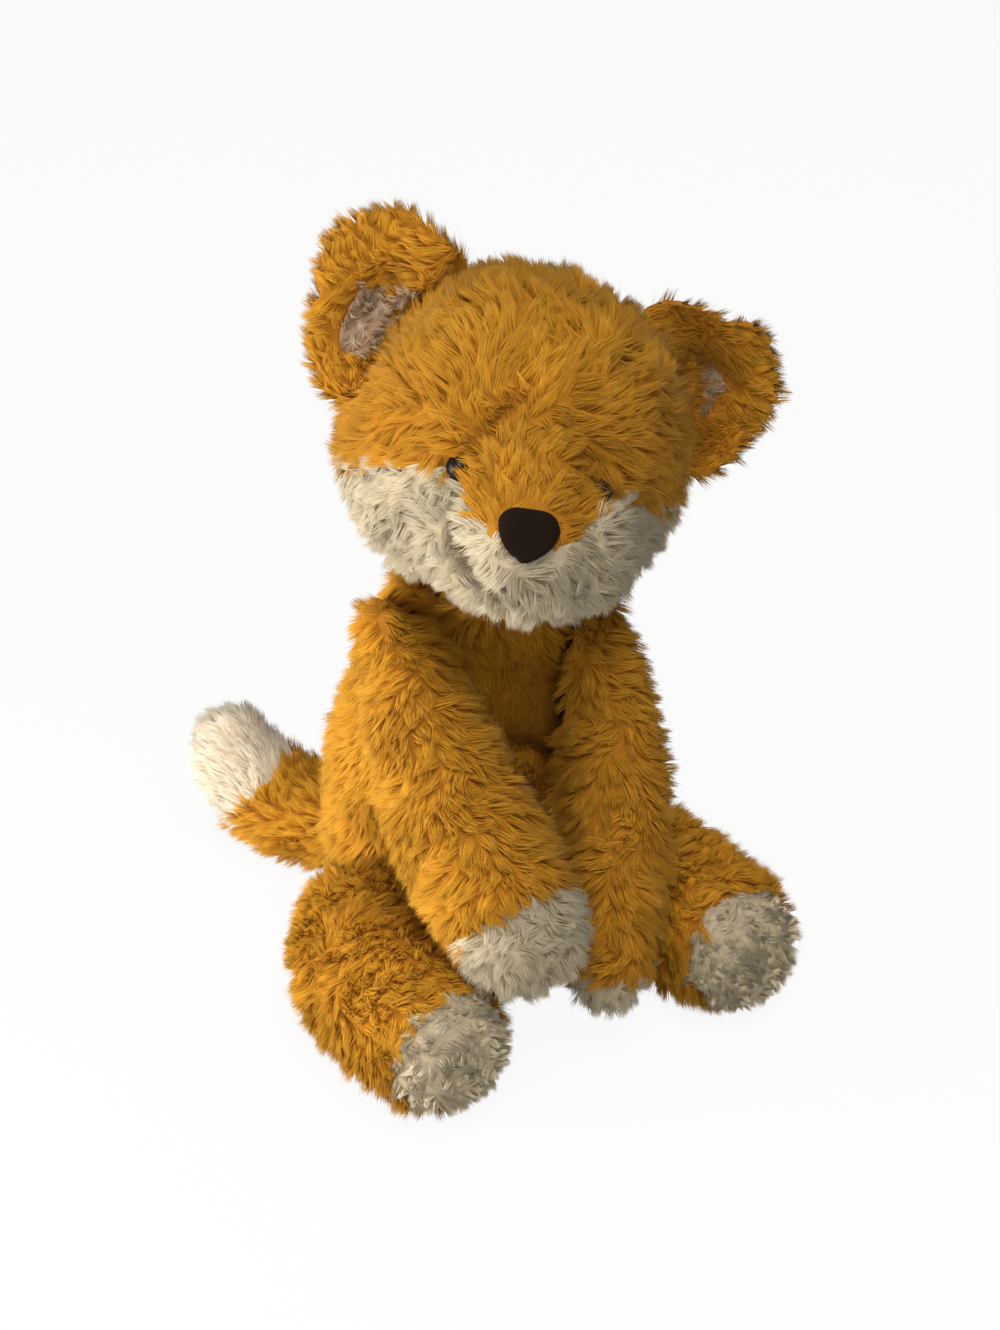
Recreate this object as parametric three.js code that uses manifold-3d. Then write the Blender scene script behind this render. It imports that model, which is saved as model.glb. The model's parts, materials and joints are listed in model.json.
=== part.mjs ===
// Plush fox: a seated soft toy, sewn from plush panels, with its filling and its sewn-in parts.
// Millimetres, +Z up. The fox faces -Y and its own left side is +X.
// The origin is the middle of the flat patch that it sits on.

import * as THREE from 'three';
import { LoftGeometry } from 'three/addons/geometries/LoftGeometry.js';
import { mergeVertices } from 'three/addons/utils/BufferGeometryUtils.js';
import Module from 'manifold-3d';

const wasm = await Module();
wasm.setup();

// Plush walls and clearances
const skinWall = 2.6;
const seamGap = 0.4;
const swingGap = 1.1;
const neckSlack = 0.6;
const floorCut = 0.5;
const overrun = 400;
const weldDistance = 0.0002;

// Torso, with shares of its width, depth and height
const torso = {
  width: 122,
  depth: 120,
  height: 166,
  routeShares: [[0, 0.1, -0.024], [0, 0.067, 0.55], [0, -0.083, 1.16]],
  widthShares: [1, 1, 0.88, 0.68, 0.64],
  depthShares: [1, 1, 0.9, 0.7, 0.6],
  seamShare: 0.06,
  fullness: 0.5,
  sides: 22,
  rings: 12,
};
const pouch = { width: 62, depth: 58, height: 26, sides: 16, rings: 6 };

// Neck and head
const neckRadius = 22;
const neckShares = [0, -0.09, 1.03];
const head = {
  width: 122,
  depth: 116,
  height: 116,
  centreShares: [0, -0.267, 1.012],
  turnDegrees: -22,
  tiltDegrees: 11,
  nodDegrees: -4,
  widthShares: [1.16, 1.08, 1, 0.97, 0.95],
  depthShares: [1, 1, 1, 1, 1],
  fullness: 0.88,
  sides: 24,
  rings: 14,
};
const cheek = { frontShare: -0.86, topShare: -0.035, backShare: 0.22, slopeDegrees: -18 };
const muzzle = {
  width: 82,
  depth: 60,
  height: 58,
  centreShares: [0.07, -0.72, -0.4],
  sides: 20,
  rings: 10,
};
const bridge = { topWidthShare: 0.62, noseWidthShare: 0.36, lowShare: 0.3, bendShare: 0.75, topShare: 2 };
const nose = {
  width: 21,
  height: 18,
  thickness: 5,
  bevel: 2.4,
  placeShares: [-0.01, -1.19, -0.23],
  shoulderShare: 0.55,
  cornerShare: 0.9,
  browShare: 0.4,
  flankShare: 0.95,
};
const eye = {
  radius: 4.6,
  stemRadius: 1.7,
  stemLength: 9,
  washerDepth: 5,
  washerRadius: 6,
  washerThickness: 1.6,
  sink: 3,
  placeShares: [0.42, -0.9, -0.02],
};

// Ears
const ear = {
  width: 76,
  thickness: 15,
  hollow: 8,
  middleShare: 0.5,
  widthShares: { right: [1.1, 1.04, 0.87, 0.7, 0.58], left: [1.02, 0.98, 0.83, 0.62, 0.46] },
  depthShares: [1, 1, 0.9, 0.8, 0.7],
  sides: 14,
  rings: 8,
  fullness: 0.5,
};
const earPoses = {
  right: { rootShares: [-0.5, 0.14, 0.05], tipShares: [-1.02, 0.17, 1.1], facingShares: [-0.1, -1, 0.1] },
  left: { rootShares: [0.72, 0.14, 0.26], tipShares: [1.42, 0.17, 0.56], facingShares: [0.1, -1, -0.1] },
};
const innerEar = {
  widthShare: 0.56,
  lengthShare: 0.62,
  shiftShare: 0.1,
  thickness: 5,
  sink: 1,
  sides: 10,
  rings: 7,
};

// Arms
const arm = {
  width: 50,
  length: 150,
  shoulderShares: { right: [0.33, -0.15, 0.905], left: [0.255, -0.15, 0.905] },
  girthShares: { right: [0.84, 0.9, 1.02, 1.2, 1.16], left: [0.8, 0.88, 0.93, 0.95, 0.95] },
  pivotShare: 0.16,
  hingeAxisShares: { right: [-0.8, 0.6, 0], left: [-1, -0.12, 0] },
  pawShares: { right: 0.83, left: 0.92 },
  fullness: 0.5,
  sides: 14,
  rings: 11,
};
const armRouteShares = {
  right: [
    [0.007, 0.087, 0.1],
    [0, 0, 0],
    [-0.013, -0.325, -0.335],
    [-0.067, -0.555, -0.53],
    [-0.09, -0.65, -0.625],
  ],
  left: [
    [0.007, 0.087, 0.1],
    [0, 0, 0],
    [-0.017, -0.22, -0.36],
    [-0.128, -0.425, -0.73],
    [-0.155, -0.458, -0.87],
  ],
};

// Legs
const leg = {
  width: 68,
  length: 115,
  hipShares: { right: [0.41, -0.04], left: [0.385, -0.04] },
  pivotShares: [0.44, 0.1],
  girthShares: [0.9, 1, 0.97, 0.95, 0.96],
  soleShare: 0.9,
  fullness: 0.5,
  sides: 16,
  rings: 11,
};
const legRouteShares = {
  right: [
    [-0.026, 0.174, 0],
    [0, 0, 0],
    [0.104, -0.39, -0.009],
    [0.08, -0.74, -0.016],
    [0.055, -0.96, -0.016],
  ],
  left: [
    [-0.026, 0.174, 0],
    [0, 0, 0],
    [0.1, -0.35, -0.009],
    [0.15, -0.64, -0.016],
    [0.17, -0.85, 0],
  ],
};

// Tail
const tail = {
  width: 50,
  length: 95,
  rootShares: [0, 0.483, 0.157],
  routeShares: [
    [0.03, -0.18, 0.03],
    [0, 0, 0],
    [-0.27, 0.28, -0.05],
    [-0.49, 0.5, 0.03],
    [-0.58, 0.61, 0.22],
    [-0.6, 0.65, 0.42],
  ],
  pivotShare: 0.24,
  girthShares: [0.85, 0.88, 0.9, 1, 1.04, 0.96],
  tipShare: 0.69,
  fullness: 0.55,
  sides: 14,
  rings: 12,
};

// Facets of the round trims and of the neck ball
const eyeSteps = 4;
const eyeSides = 12;
const ballSides = 18;
const ballRings = 12;

// Swings about each seam, in degrees from the seated pose
const armSwingDegrees = { right: [0, 20, 45], left: [0, 20, 40] };
const legSwingDegrees = [0, 12, 25];
const tailSwingDegrees = [0, 30, 60];
const earSwingDegrees = [-20, 0, 20];
const nodSwingDegrees = [-12, 0, 6];
const turnSwingDegrees = [-25, 0, 20, 40];

// Fabrics, as seen in the photograph
const finishes = {
  amberPlush: { color: 0xc98222, roughness: 0.95, metalness: 0 },
  whitePlush: { color: 0xe6e0d8, roughness: 0.95, metalness: 0 },
  creamPlush: { color: 0xe9dfd0, roughness: 0.95, metalness: 0 },
  innerEar: { color: 0xdcc6b6, roughness: 0.95, metalness: 0 },
  darkCloth: { color: 0x2a1a14, roughness: 0.8, metalness: 0 },
  glossBlack: { color: 0x060606, roughness: 0.1, metalness: 0 },
  washer: { color: 0xd8d8d2, roughness: 0.5, metalness: 0 },
  fibre: { color: 0xf2f0ea, roughness: 1, metalness: 0 },
  beads: { color: 0xe8e4dc, roughness: 0.8, metalness: 0 },
};

const up = new THREE.Vector3(0, 0, 1);
const forwards = new THREE.Vector3(0, -1, 0);
const sideways = new THREE.Vector3(1, 0, 0);

/** A point from three shares of three sizes. */
const byShares = (shares, sizes) => new THREE.Vector3(...shares).multiply(sizes);

/** A smooth value along a row of evenly spaced ones, read at a share of its length. */
function valueAlong(values, share) {
  const points = values.map((value, index) => new THREE.Vector2(index, value));
  return new THREE.SplineCurve(points).getPoint(share).y;
}

/**
 * The surface of a stuffed form: sections square to a smooth route, which swell and taper along it and
 * close in a dome at each end. An inset lays the whole surface so far inside the form.
 */
function stuffedForm(form, inset = 0) {
  const route = new THREE.CatmullRomCurve3(form.route, false, 'centripetal');
  const length = route.getLength();
  const sections = [];
  for (let ring = 0; ring < form.rings; ring += 1) {
    const turn = (Math.PI * (ring + 0.5)) / form.rings;
    const along = (1 - Math.cos(turn)) / 2;
    const reach = inset + along * (length - 2 * inset);
    const place = THREE.MathUtils.clamp(reach / length, 0, 1);
    const tangent = route.getTangentAt(place);
    const centre = route.getPointAt(place).addScaledVector(tangent, reach - place * length);
    const side = tangent.clone().cross(form.facing).normalize();
    const back = tangent.clone().cross(side);
    const dome = Math.sin(turn) ** form.fullness;
    const halfWidth = (valueAlong(form.halfWidths, along) - inset) * dome;
    const halfDepth = (valueAlong(form.halfDepths, along) - inset) * dome;
    const section = [];
    for (let step = 0; step < form.sides; step += 1) {
      const angle = (2 * Math.PI * step) / form.sides;
      const across = Math.cos(angle);
      const hollow = (form.hollow ?? 0) * (1 - across * across) * dome;
      const point = centre.clone().addScaledVector(side, halfWidth * across);
      point.addScaledVector(back, halfDepth * Math.sin(angle) + hollow);
      section.push(point);
    }
    sections.push(section);
  }
  return new LoftGeometry(sections, { capStart: true, capEnd: true });
}

/** A closed solid from a geometry, moved by a matrix. */
function solidOf(geometry, matrix = new THREE.Matrix4()) {
  const bare = new THREE.BufferGeometry().copy(geometry).applyMatrix4(matrix);
  bare.deleteAttribute('normal');
  bare.deleteAttribute('uv');
  const welded = mergeVertices(bare, weldDistance);
  const surface = new wasm.Mesh({
    numProp: 3,
    vertProperties: welded.attributes.position.array,
    triVerts: welded.index.array,
  });
  return new wasm.Manifold(surface);
}

/** The geometry of a solid. */
function geometryOf(solid) {
  const surface = solid.getMesh();
  const geometry = new THREE.BufferGeometry();
  geometry.setAttribute('position', new THREE.BufferAttribute(Float32Array.from(surface.vertProperties), 3));
  geometry.setIndex(new THREE.BufferAttribute(Uint32Array.from(surface.triVerts), 1));
  return geometry;
}

/** The main body of a cut, without the crumbs that it leaves beside it. */
function mainBody(solid) {
  const bodies = solid.decompose();
  return bodies.reduce((largest, each) => (each.volume() > largest.volume() ? each : largest));
}

/** The solid without any of the others. */
const without = (solid, ...others) => others.reduce((left, other) => left.subtract(other), solid);

/** A box solid between two heights or sides, far wider than the toy, in a frame of its own. */
function slab(low, high, matrix) {
  const size = high.clone().sub(low);
  const box = new THREE.BoxGeometry(size.x, size.y, size.z);
  const middle = low.clone().add(high).divideScalar(2);
  box.translate(middle.x, middle.y, middle.z);
  return solidOf(box, matrix);
}

/** The turn of a hinge by an angle, as a matrix. */
function hingeTurn(hinge, degrees) {
  const turn = new THREE.Matrix4().makeRotationAxis(hinge.axis, THREE.MathUtils.degToRad(degrees));
  const there = new THREE.Matrix4().makeTranslation(hinge.pivot);
  const home = new THREE.Matrix4().makeTranslation(hinge.pivot.clone().negate());
  return there.multiply(turn).multiply(home);
}

/** The form as a neighbour on a hinge meets it through its whole swing, one solid for each angle. */
function metBySwing(form, hinge, swings, frame = new THREE.Matrix4()) {
  return swings.map((degrees) => {
    const inflated = stuffedForm(form, degrees === 0 ? -seamGap : -swingGap);
    return solidOf(inflated.applyMatrix4(hingeTurn(hinge, -degrees)), frame);
  });
}

/** Cuts a solid in two across a route, at a share of its length, with a seam gap between the halves. */
function splitAcross(solid, form, share) {
  const route = new THREE.CatmullRomCurve3(form.route, false, 'centripetal');
  const centre = route.getPointAt(share);
  const ahead = route.getTangentAt(share);
  const tilt = new THREE.Quaternion().setFromUnitVectors(up, ahead);
  const frame = new THREE.Matrix4().compose(centre, tilt, new THREE.Vector3(1, 1, 1));
  const corner = new THREE.Vector3(overrun, overrun, overrun);
  const beyond = slab(new THREE.Vector3(-overrun, -overrun, -seamGap / 2), corner, frame);
  const before = slab(corner.clone().negate(), new THREE.Vector3(overrun, overrun, seamGap / 2), frame);
  return { near: solid.subtract(beyond), far: solid.subtract(before) };
}

const fox = new THREE.Group();
fox.name = 'plush_fox';

/** A nested group that stands at a point, turned as given. */
function addGroup(parent, position, rotation = new THREE.Euler()) {
  const group = new THREE.Group();
  group.position.copy(position);
  group.rotation.copy(rotation);
  parent.add(group);
  group.updateWorldMatrix(true, false);
  return group;
}

/** Notes on a group the seam that it turns about, in the toy's own frame, with its range in degrees. */
function noteHinge(group, parent, hinge, swings, frame = new THREE.Matrix4()) {
  group.userData.hinge = {
    parent,
    pivot: hinge.pivot.clone().applyMatrix4(frame).toArray(),
    axis: hinge.axis.clone().transformDirection(frame).toArray(),
    rangeDegrees: [swings[0], swings[swings.length - 1]],
  };
}

/** Adds a solid, given in the toy's own frame, to a group as a named mesh. */
function addPiece(group, name, solid, finish) {
  const geometry = geometryOf(mainBody(solid)).applyMatrix4(group.matrixWorld.clone().invert());
  geometry.computeVertexNormals();
  const piece = new THREE.Mesh(geometry, new THREE.MeshStandardMaterial(finishes[finish]));
  piece.name = name;
  group.add(piece);
  return piece;
}

const body = new THREE.Vector3(torso.width, torso.depth, torso.height);
const floor = slab(
  new THREE.Vector3(-overrun, -overrun, -overrun),
  new THREE.Vector3(overrun, overrun, 0),
);

// Torso, its seat panel, its filling and the bead pouch that keeps it seated
const torsoForm = {
  ...torso,
  route: torso.routeShares.map((shares) => byShares(shares, body)),
  halfWidths: torso.widthShares.map((share) => (share * torso.width) / 2),
  halfDepths: torso.depthShares.map((share) => (share * torso.depth) / 2),
  facing: forwards,
};
const neckPivot = byShares(neckShares, body);
const neckBall = (slack) => {
  const ball = new THREE.SphereGeometry(neckRadius + slack, ballSides, ballRings);
  ball.translate(neckPivot.x, neckPivot.y, neckPivot.z);
  return solidOf(ball);
};
const aboveNeck = slab(
  new THREE.Vector3(-overrun, -overrun, torso.height),
  new THREE.Vector3(overrun, overrun, torso.height + overrun),
);
const seatInside = skinWall + seamGap;
const belowFilling = slab(
  new THREE.Vector3(-overrun, -overrun, -overrun),
  new THREE.Vector3(overrun, overrun, seatInside),
);
const torsoCore = without(
  solidOf(stuffedForm(torsoForm, skinWall + seamGap)),
  aboveNeck,
  belowFilling,
  neckBall(neckSlack),
);
const torsoHollow = solidOf(stuffedForm(torsoForm, skinWall));
const skinFloor = slab(
  new THREE.Vector3(-overrun, -overrun, -overrun),
  new THREE.Vector3(overrun, overrun, skinWall),
);
const torsoShell = without(
  solidOf(stuffedForm(torsoForm)),
  without(torsoHollow, skinFloor),
  aboveNeck,
  floor,
  neckBall(neckSlack),
);
const torsoSeam = torso.height * torso.seamShare;
const aboveSeam = slab(
  new THREE.Vector3(-overrun, -overrun, torsoSeam - seamGap / 2),
  new THREE.Vector3(overrun, overrun, overrun),
);
const belowSeam = slab(
  new THREE.Vector3(-overrun, -overrun, -overrun),
  new THREE.Vector3(overrun, overrun, torsoSeam + seamGap / 2),
);
const pouchForm = {
  ...pouch,
  route: [torsoForm.route[0].clone().setZ(0), torsoForm.route[0].clone().setZ(pouch.height)],
  halfWidths: [pouch.width / 2, pouch.width / 2],
  halfDepths: [pouch.depth / 2, pouch.depth / 2],
  facing: forwards,
  fullness: torso.fullness,
};
const pouchSolid = without(solidOf(stuffedForm(pouchForm)), belowFilling);
const torsoGroup = addGroup(fox, new THREE.Vector3());
torsoGroup.name = 'torso';
addPiece(torsoGroup, 'torso_skin', torsoShell.subtract(belowSeam), 'amberPlush');
addPiece(torsoGroup, 'seat_panel', torsoShell.subtract(aboveSeam), 'amberPlush');
addPiece(torsoGroup, 'torso_filling', torsoCore.subtract(solidOf(stuffedForm(pouchForm, -seamGap))), 'fibre');
addPiece(torsoGroup, 'bead_pouch', pouchSolid, 'beads');

// Neck, a ball of filling between the torso and the head
const neckGroup = addGroup(fox, neckPivot);
neckGroup.name = 'neck';
noteHinge(neckGroup, 'torso', { pivot: neckPivot, axis: up }, turnSwingDegrees);
addPiece(neckGroup, 'neck_filling', neckBall(0), 'fibre');

// Head, sewn from a crown, two cheeks, a muzzle and the bridge over it
const headSize = new THREE.Vector3(head.width / 2, head.depth / 2, head.height / 2);
const headCentre = byShares(head.centreShares, body).add(new THREE.Vector3(0, 0, headSize.z));
const headTurn = new THREE.Euler(
  THREE.MathUtils.degToRad(head.nodDegrees),
  THREE.MathUtils.degToRad(head.tiltDegrees),
  THREE.MathUtils.degToRad(head.turnDegrees),
  'ZYX',
);
const headGroup = addGroup(fox, headCentre, headTurn);
const headFrame = headGroup.matrixWorld;
const headForm = {
  ...head,
  route: [new THREE.Vector3(0, 0, -headSize.z), new THREE.Vector3(0, 0, headSize.z)],
  halfWidths: head.widthShares.map((share) => share * headSize.x),
  halfDepths: head.depthShares.map((share) => share * headSize.y),
  facing: forwards,
};
const muzzleSize = new THREE.Vector3(muzzle.width / 2, muzzle.depth / 2, muzzle.height / 2);
const muzzleCentre = byShares(muzzle.centreShares, headSize);
const muzzleForm = {
  ...muzzle,
  route: [-1, 1].map((end) => muzzleCentre.clone().addScaledVector(up, end * muzzleSize.z)),
  halfWidths: [muzzleSize.x, muzzleSize.x],
  halfDepths: [muzzleSize.y, muzzleSize.y],
  facing: forwards,
  fullness: 1,
};
const inHead = (form, inset) => solidOf(stuffedForm(form, inset), headFrame);

const nodHinge = {
  pivot: neckPivot,
  axis: sideways.clone().applyAxisAngle(up, THREE.MathUtils.degToRad(head.turnDegrees)),
};
headGroup.name = 'head';
noteHinge(headGroup, 'neck', nodHinge, nodSwingDegrees);
const torsoTop = without(solidOf(stuffedForm(torsoForm, -swingGap)), aboveNeck);
const torsoMet = turnSwingDegrees.flatMap((turned) => nodSwingDegrees.map((nodded) => {
  const turn = hingeTurn({ pivot: neckPivot, axis: up }, -turned);
  return solidOf(geometryOf(torsoTop), hingeTurn(nodHinge, -nodded).multiply(turn));
}));
const headShell = without(inHead(headForm, 0), inHead(headForm, skinWall), neckBall(neckSlack), ...torsoMet);
const wide = new THREE.Vector3(overrun, overrun, overrun);
const cheekFront = headSize.y * cheek.frontShare;
const cheekFrame = headFrame.clone().multiply(
  new THREE.Matrix4().makeTranslation(0, cheekFront, headSize.z * cheek.topShare),
);
cheekFrame.multiply(new THREE.Matrix4().makeRotationX(THREE.MathUtils.degToRad(cheek.slopeDegrees)));
const cheekBlock = (gap) => slab(
  wide.clone().negate(),
  new THREE.Vector3(wide.x, headSize.y * cheek.backShare - cheekFront + gap, gap),
  cheekFrame,
);
const rightHalf = slab(wide.clone().negate(), new THREE.Vector3(seamGap / 2, wide.y, wide.z), headFrame);
const leftHalf = slab(new THREE.Vector3(-seamGap / 2, -wide.y, -wide.z), wide, headFrame);
/** The wedge over the muzzle that its amber bridge fills, from between the eyes down to the nose. */
function bridgeWedge(gap) {
  const outline = new THREE.Shape();
  const topHalf = muzzleSize.x * bridge.topWidthShare + gap;
  const lowHalf = muzzleSize.x * bridge.noseWidthShare + gap;
  outline.moveTo(-topHalf, muzzleSize.z * bridge.topShare);
  outline.lineTo(-topHalf, muzzleSize.z * bridge.bendShare);
  outline.lineTo(-lowHalf, muzzleSize.z * bridge.lowShare - gap);
  outline.lineTo(lowHalf, muzzleSize.z * bridge.lowShare - gap);
  outline.lineTo(topHalf, muzzleSize.z * bridge.bendShare);
  outline.lineTo(topHalf, muzzleSize.z * bridge.topShare);
  const wedge = new THREE.ExtrudeGeometry(outline, { depth: overrun, bevelEnabled: false });
  wedge.translate(0, 0, -overrun / 2);
  wedge.rotateX(Math.PI / 2);
  wedge.translate(0, muzzleCentre.y, muzzleCentre.z);
  return solidOf(wedge, headFrame);
}

const crown = headShell.subtract(cheekBlock(seamGap / 2).subtract(bridgeWedge(-seamGap / 2)));
const cheeks = headShell.intersect(cheekBlock(-seamGap / 2)).subtract(bridgeWedge(seamGap / 2));

/** The eye's outline from its stem to the top of its dome, turned about its own axis. */
function eyeGeometry(slack) {
  const radius = eye.radius + slack;
  const outline = [new THREE.Vector2(0, -eye.stemLength - slack)];
  outline.push(new THREE.Vector2(eye.stemRadius + slack, -eye.stemLength - slack));
  outline.push(new THREE.Vector2(eye.stemRadius + slack, -slack));
  for (let step = 0; step <= eyeSteps; step += 1) {
    const turn = (Math.PI * step) / (eyeSteps * 2);
    outline.push(new THREE.Vector2(radius * Math.cos(turn), radius * Math.sin(turn) - slack));
  }
  outline[outline.length - 1].setX(0);
  return new THREE.LatheGeometry(outline, eyeSides);
}

/** The washer that locks an eye's stem behind the plush. */
function washerGeometry() {
  const bore = eye.stemRadius + seamGap;
  const rim = eye.washerRadius;
  const top = -eye.washerDepth;
  const base = top - eye.washerThickness;
  const outline = [[bore, base], [rim, base], [rim, top], [bore, top], [bore, base]];
  return new THREE.LatheGeometry(outline.map(([x, y]) => new THREE.Vector2(x, y)), eyeSides);
}

/** The frame of an eye: on the head's surface, with its axis along the surface normal. */
function eyeFrame(side) {
  const place = byShares(eye.placeShares, headSize);
  place.x *= side;
  const normal = place.clone().divide(headSize).divide(headSize).normalize();
  const size = place.clone().divide(headSize).length();
  const centre = place.divideScalar(size).addScaledVector(normal, -eye.sink);
  const frame = new THREE.Matrix4().makeTranslation(centre);
  const turn = new THREE.Quaternion().setFromUnitVectors(new THREE.Vector3(0, 1, 0), normal);
  frame.multiply(new THREE.Matrix4().makeRotationFromQuaternion(turn));
  return headFrame.clone().multiply(frame);
}

const eyes = ['right', 'left'].map((name, index) => {
  const frame = eyeFrame(index * 2 - 1);
  return {
    name,
    solid: solidOf(eyeGeometry(0), frame),
    room: solidOf(eyeGeometry(seamGap), frame),
    washer: solidOf(washerGeometry(), frame),
    washerRoom: solidOf(new THREE.CylinderGeometry(
      eye.washerRadius + seamGap,
      eye.washerRadius + seamGap,
      eye.stemLength * 2 + seamGap * 2,
      eyeSides,
    ), frame),
  };
});
const eyeRooms = eyes.map((each) => each.room);
const headCore = without(
  inHead(headForm, skinWall + seamGap),
  neckBall(neckSlack),
  ...torsoMet,
  ...eyes.map((each) => each.washerRoom),
);
const headOutside = inHead(headForm, -seamGap);
const muzzleShell = without(inHead(muzzleForm, 0), inHead(muzzleForm, skinWall), headOutside, ...eyeRooms);
const muzzleCore = without(inHead(muzzleForm, skinWall + seamGap), headOutside, ...eyeRooms);

/** The nose pad: a rounded triangle of stuffed cloth, wide at the top. */
function noseGeometry() {
  const half = nose.width / 2 - nose.bevel;
  const top = nose.height / 2 - nose.bevel;
  const shoulder = top * nose.shoulderShare;
  const corner = half * nose.cornerShare;
  const brow = half * nose.browShare;
  const flank = half * nose.flankShare;
  const waist = -top * nose.browShare;
  const outline = new THREE.Shape();
  outline.moveTo(-half, shoulder);
  outline.quadraticCurveTo(-corner, top, -brow, top);
  outline.lineTo(brow, top);
  outline.quadraticCurveTo(corner, top, half, shoulder);
  outline.quadraticCurveTo(flank, waist, 0, -top);
  outline.quadraticCurveTo(-flank, waist, -half, shoulder);
  const pad = new THREE.ExtrudeGeometry(outline, {
    depth: nose.thickness,
    bevelThickness: nose.bevel,
    bevelSize: nose.bevel,
    bevelSegments: 2,
    curveSegments: 5,
  });
  pad.rotateX(Math.PI / 2);
  return pad;
}

const nosePlace = byShares(nose.placeShares, headSize);
const noseFrame = headFrame.clone().multiply(new THREE.Matrix4().makeTranslation(nosePlace));
const muzzleOutside = inHead(muzzleForm, -seamGap);
const nosePad = without(solidOf(noseGeometry(), noseFrame), muzzleOutside, headOutside);
addPiece(headGroup, 'head_crown', without(crown, ...eyeRooms), 'amberPlush');
addPiece(headGroup, 'cheek_right', without(cheeks, leftHalf, ...eyeRooms), 'whitePlush');
addPiece(headGroup, 'cheek_left', without(cheeks, rightHalf, ...eyeRooms), 'whitePlush');
addPiece(headGroup, 'head_filling', headCore, 'fibre');
addPiece(headGroup, 'muzzle', muzzleShell.subtract(bridgeWedge(seamGap)), 'whitePlush');
addPiece(headGroup, 'muzzle_bridge', muzzleShell.intersect(bridgeWedge(0)), 'amberPlush');
addPiece(headGroup, 'muzzle_filling', muzzleCore, 'fibre');
addPiece(headGroup, 'nose', nosePad, 'darkCloth');
for (const each of eyes) {
  addPiece(headGroup, `eye_${each.name}`, each.solid, 'glossBlack');
  addPiece(headGroup, `eye_washer_${each.name}`, each.washer, 'washer');
}

// Ears, each a stuffed flap with a pad sewn into its hollow
for (const name of ['right', 'left']) {
  const pose = earPoses[name];
  const root = byShares(pose.rootShares, headSize);
  const tip = byShares(pose.tipShares, headSize);
  const facing = new THREE.Vector3(...pose.facingShares).normalize();
  const earForm = {
    ...ear,
    route: [root, root.clone().lerp(tip, ear.middleShare), tip],
    halfWidths: ear.widthShares[name].map((share) => (share * ear.width) / 2),
    halfDepths: ear.depthShares.map((share) => (share * ear.thickness) / 2),
    facing,
  };
  const raise = ear.thickness / 2 - innerEar.sink;
  const padForm = {
    ...earForm,
    route: earForm.route.map((point) => {
      const shrunk = root.clone().lerp(point, innerEar.lengthShare).lerp(tip, innerEar.shiftShare);
      return shrunk.addScaledVector(facing, raise);
    }),
    halfWidths: earForm.halfWidths.map((width) => width * innerEar.widthShare),
    halfDepths: earForm.halfDepths.map(() => innerEar.thickness / 2),
    rings: innerEar.rings,
    sides: innerEar.sides,
  };
  const axis = tip.clone().sub(root).cross(facing).normalize();
  const surface = root.clone().divideScalar(root.clone().divide(headSize).length());
  const hinge = { pivot: surface, axis };
  const headMet = metBySwing(headForm, hinge, earSwingDegrees, headFrame);
  const padRoom = inHead(earForm, -seamGap);
  const group = addGroup(headGroup, surface);
  group.name = `ear_${name}_group`;
  noteHinge(group, 'head', hinge, earSwingDegrees, headFrame);
  addPiece(group, `ear_${name}`, without(inHead(earForm, 0), ...headMet), 'amberPlush');
  addPiece(group, `inner_ear_${name}`, without(inHead(padForm, 0), padRoom, ...headMet), 'innerEar');
}

/** The route of a limb from shares of its length, mirrored to a side, from its root onwards. */
function limbRoute(routeShares, side, length, root) {
  return routeShares.map(([x, y, z]) => new THREE.Vector3(x * side, y, z).multiplyScalar(length).add(root));
}

/** Adds a limb: a skin with a separate end panel, both round one filling. */
function addLimb(group, names, form, endShare, obstacles, endFinish) {
  const shell = without(solidOf(stuffedForm(form)), solidOf(stuffedForm(form, skinWall)), ...obstacles);
  const core = without(solidOf(stuffedForm(form, skinWall + seamGap)), ...obstacles);
  const halves = splitAcross(shell, form, endShare);
  addPiece(group, names[0], halves.near, 'amberPlush');
  addPiece(group, names[1], halves.far, endFinish);
  addPiece(group, names[2], core, 'fibre');
}

// Legs, splayed on the floor
const legRooms = [];
for (const name of ['right', 'left']) {
  const side = name === 'right' ? -1 : 1;
  const hip = byShares([...leg.hipShares[name], 0], body).setZ(leg.width / 2 - floorCut);
  hip.x *= side;
  const legForm = {
    ...leg,
    route: limbRoute(legRouteShares[name], side, leg.length, hip),
    halfWidths: leg.girthShares.map((share) => (share * leg.width) / 2),
    halfDepths: leg.girthShares.map((share) => (share * leg.width) / 2),
    facing: up,
  };
  const pivot = byShares([...leg.pivotShares, 0], body).setZ(hip.z);
  pivot.x *= side;
  const hinge = { pivot, axis: up.clone().multiplyScalar(side) };
  const group = addGroup(fox, pivot);
  group.name = `leg_${name}`;
  noteHinge(group, 'torso', hinge, legSwingDegrees);
  const obstacles = [...metBySwing(torsoForm, hinge, legSwingDegrees), floor];
  const names = [`leg_skin_${name}`, `foot_sole_${name}`, `leg_filling_${name}`];
  addLimb(group, names, legForm, leg.soleShare, obstacles, 'whitePlush');
  legRooms.push(solidOf(stuffedForm(legForm, -seamGap)));
}

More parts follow.
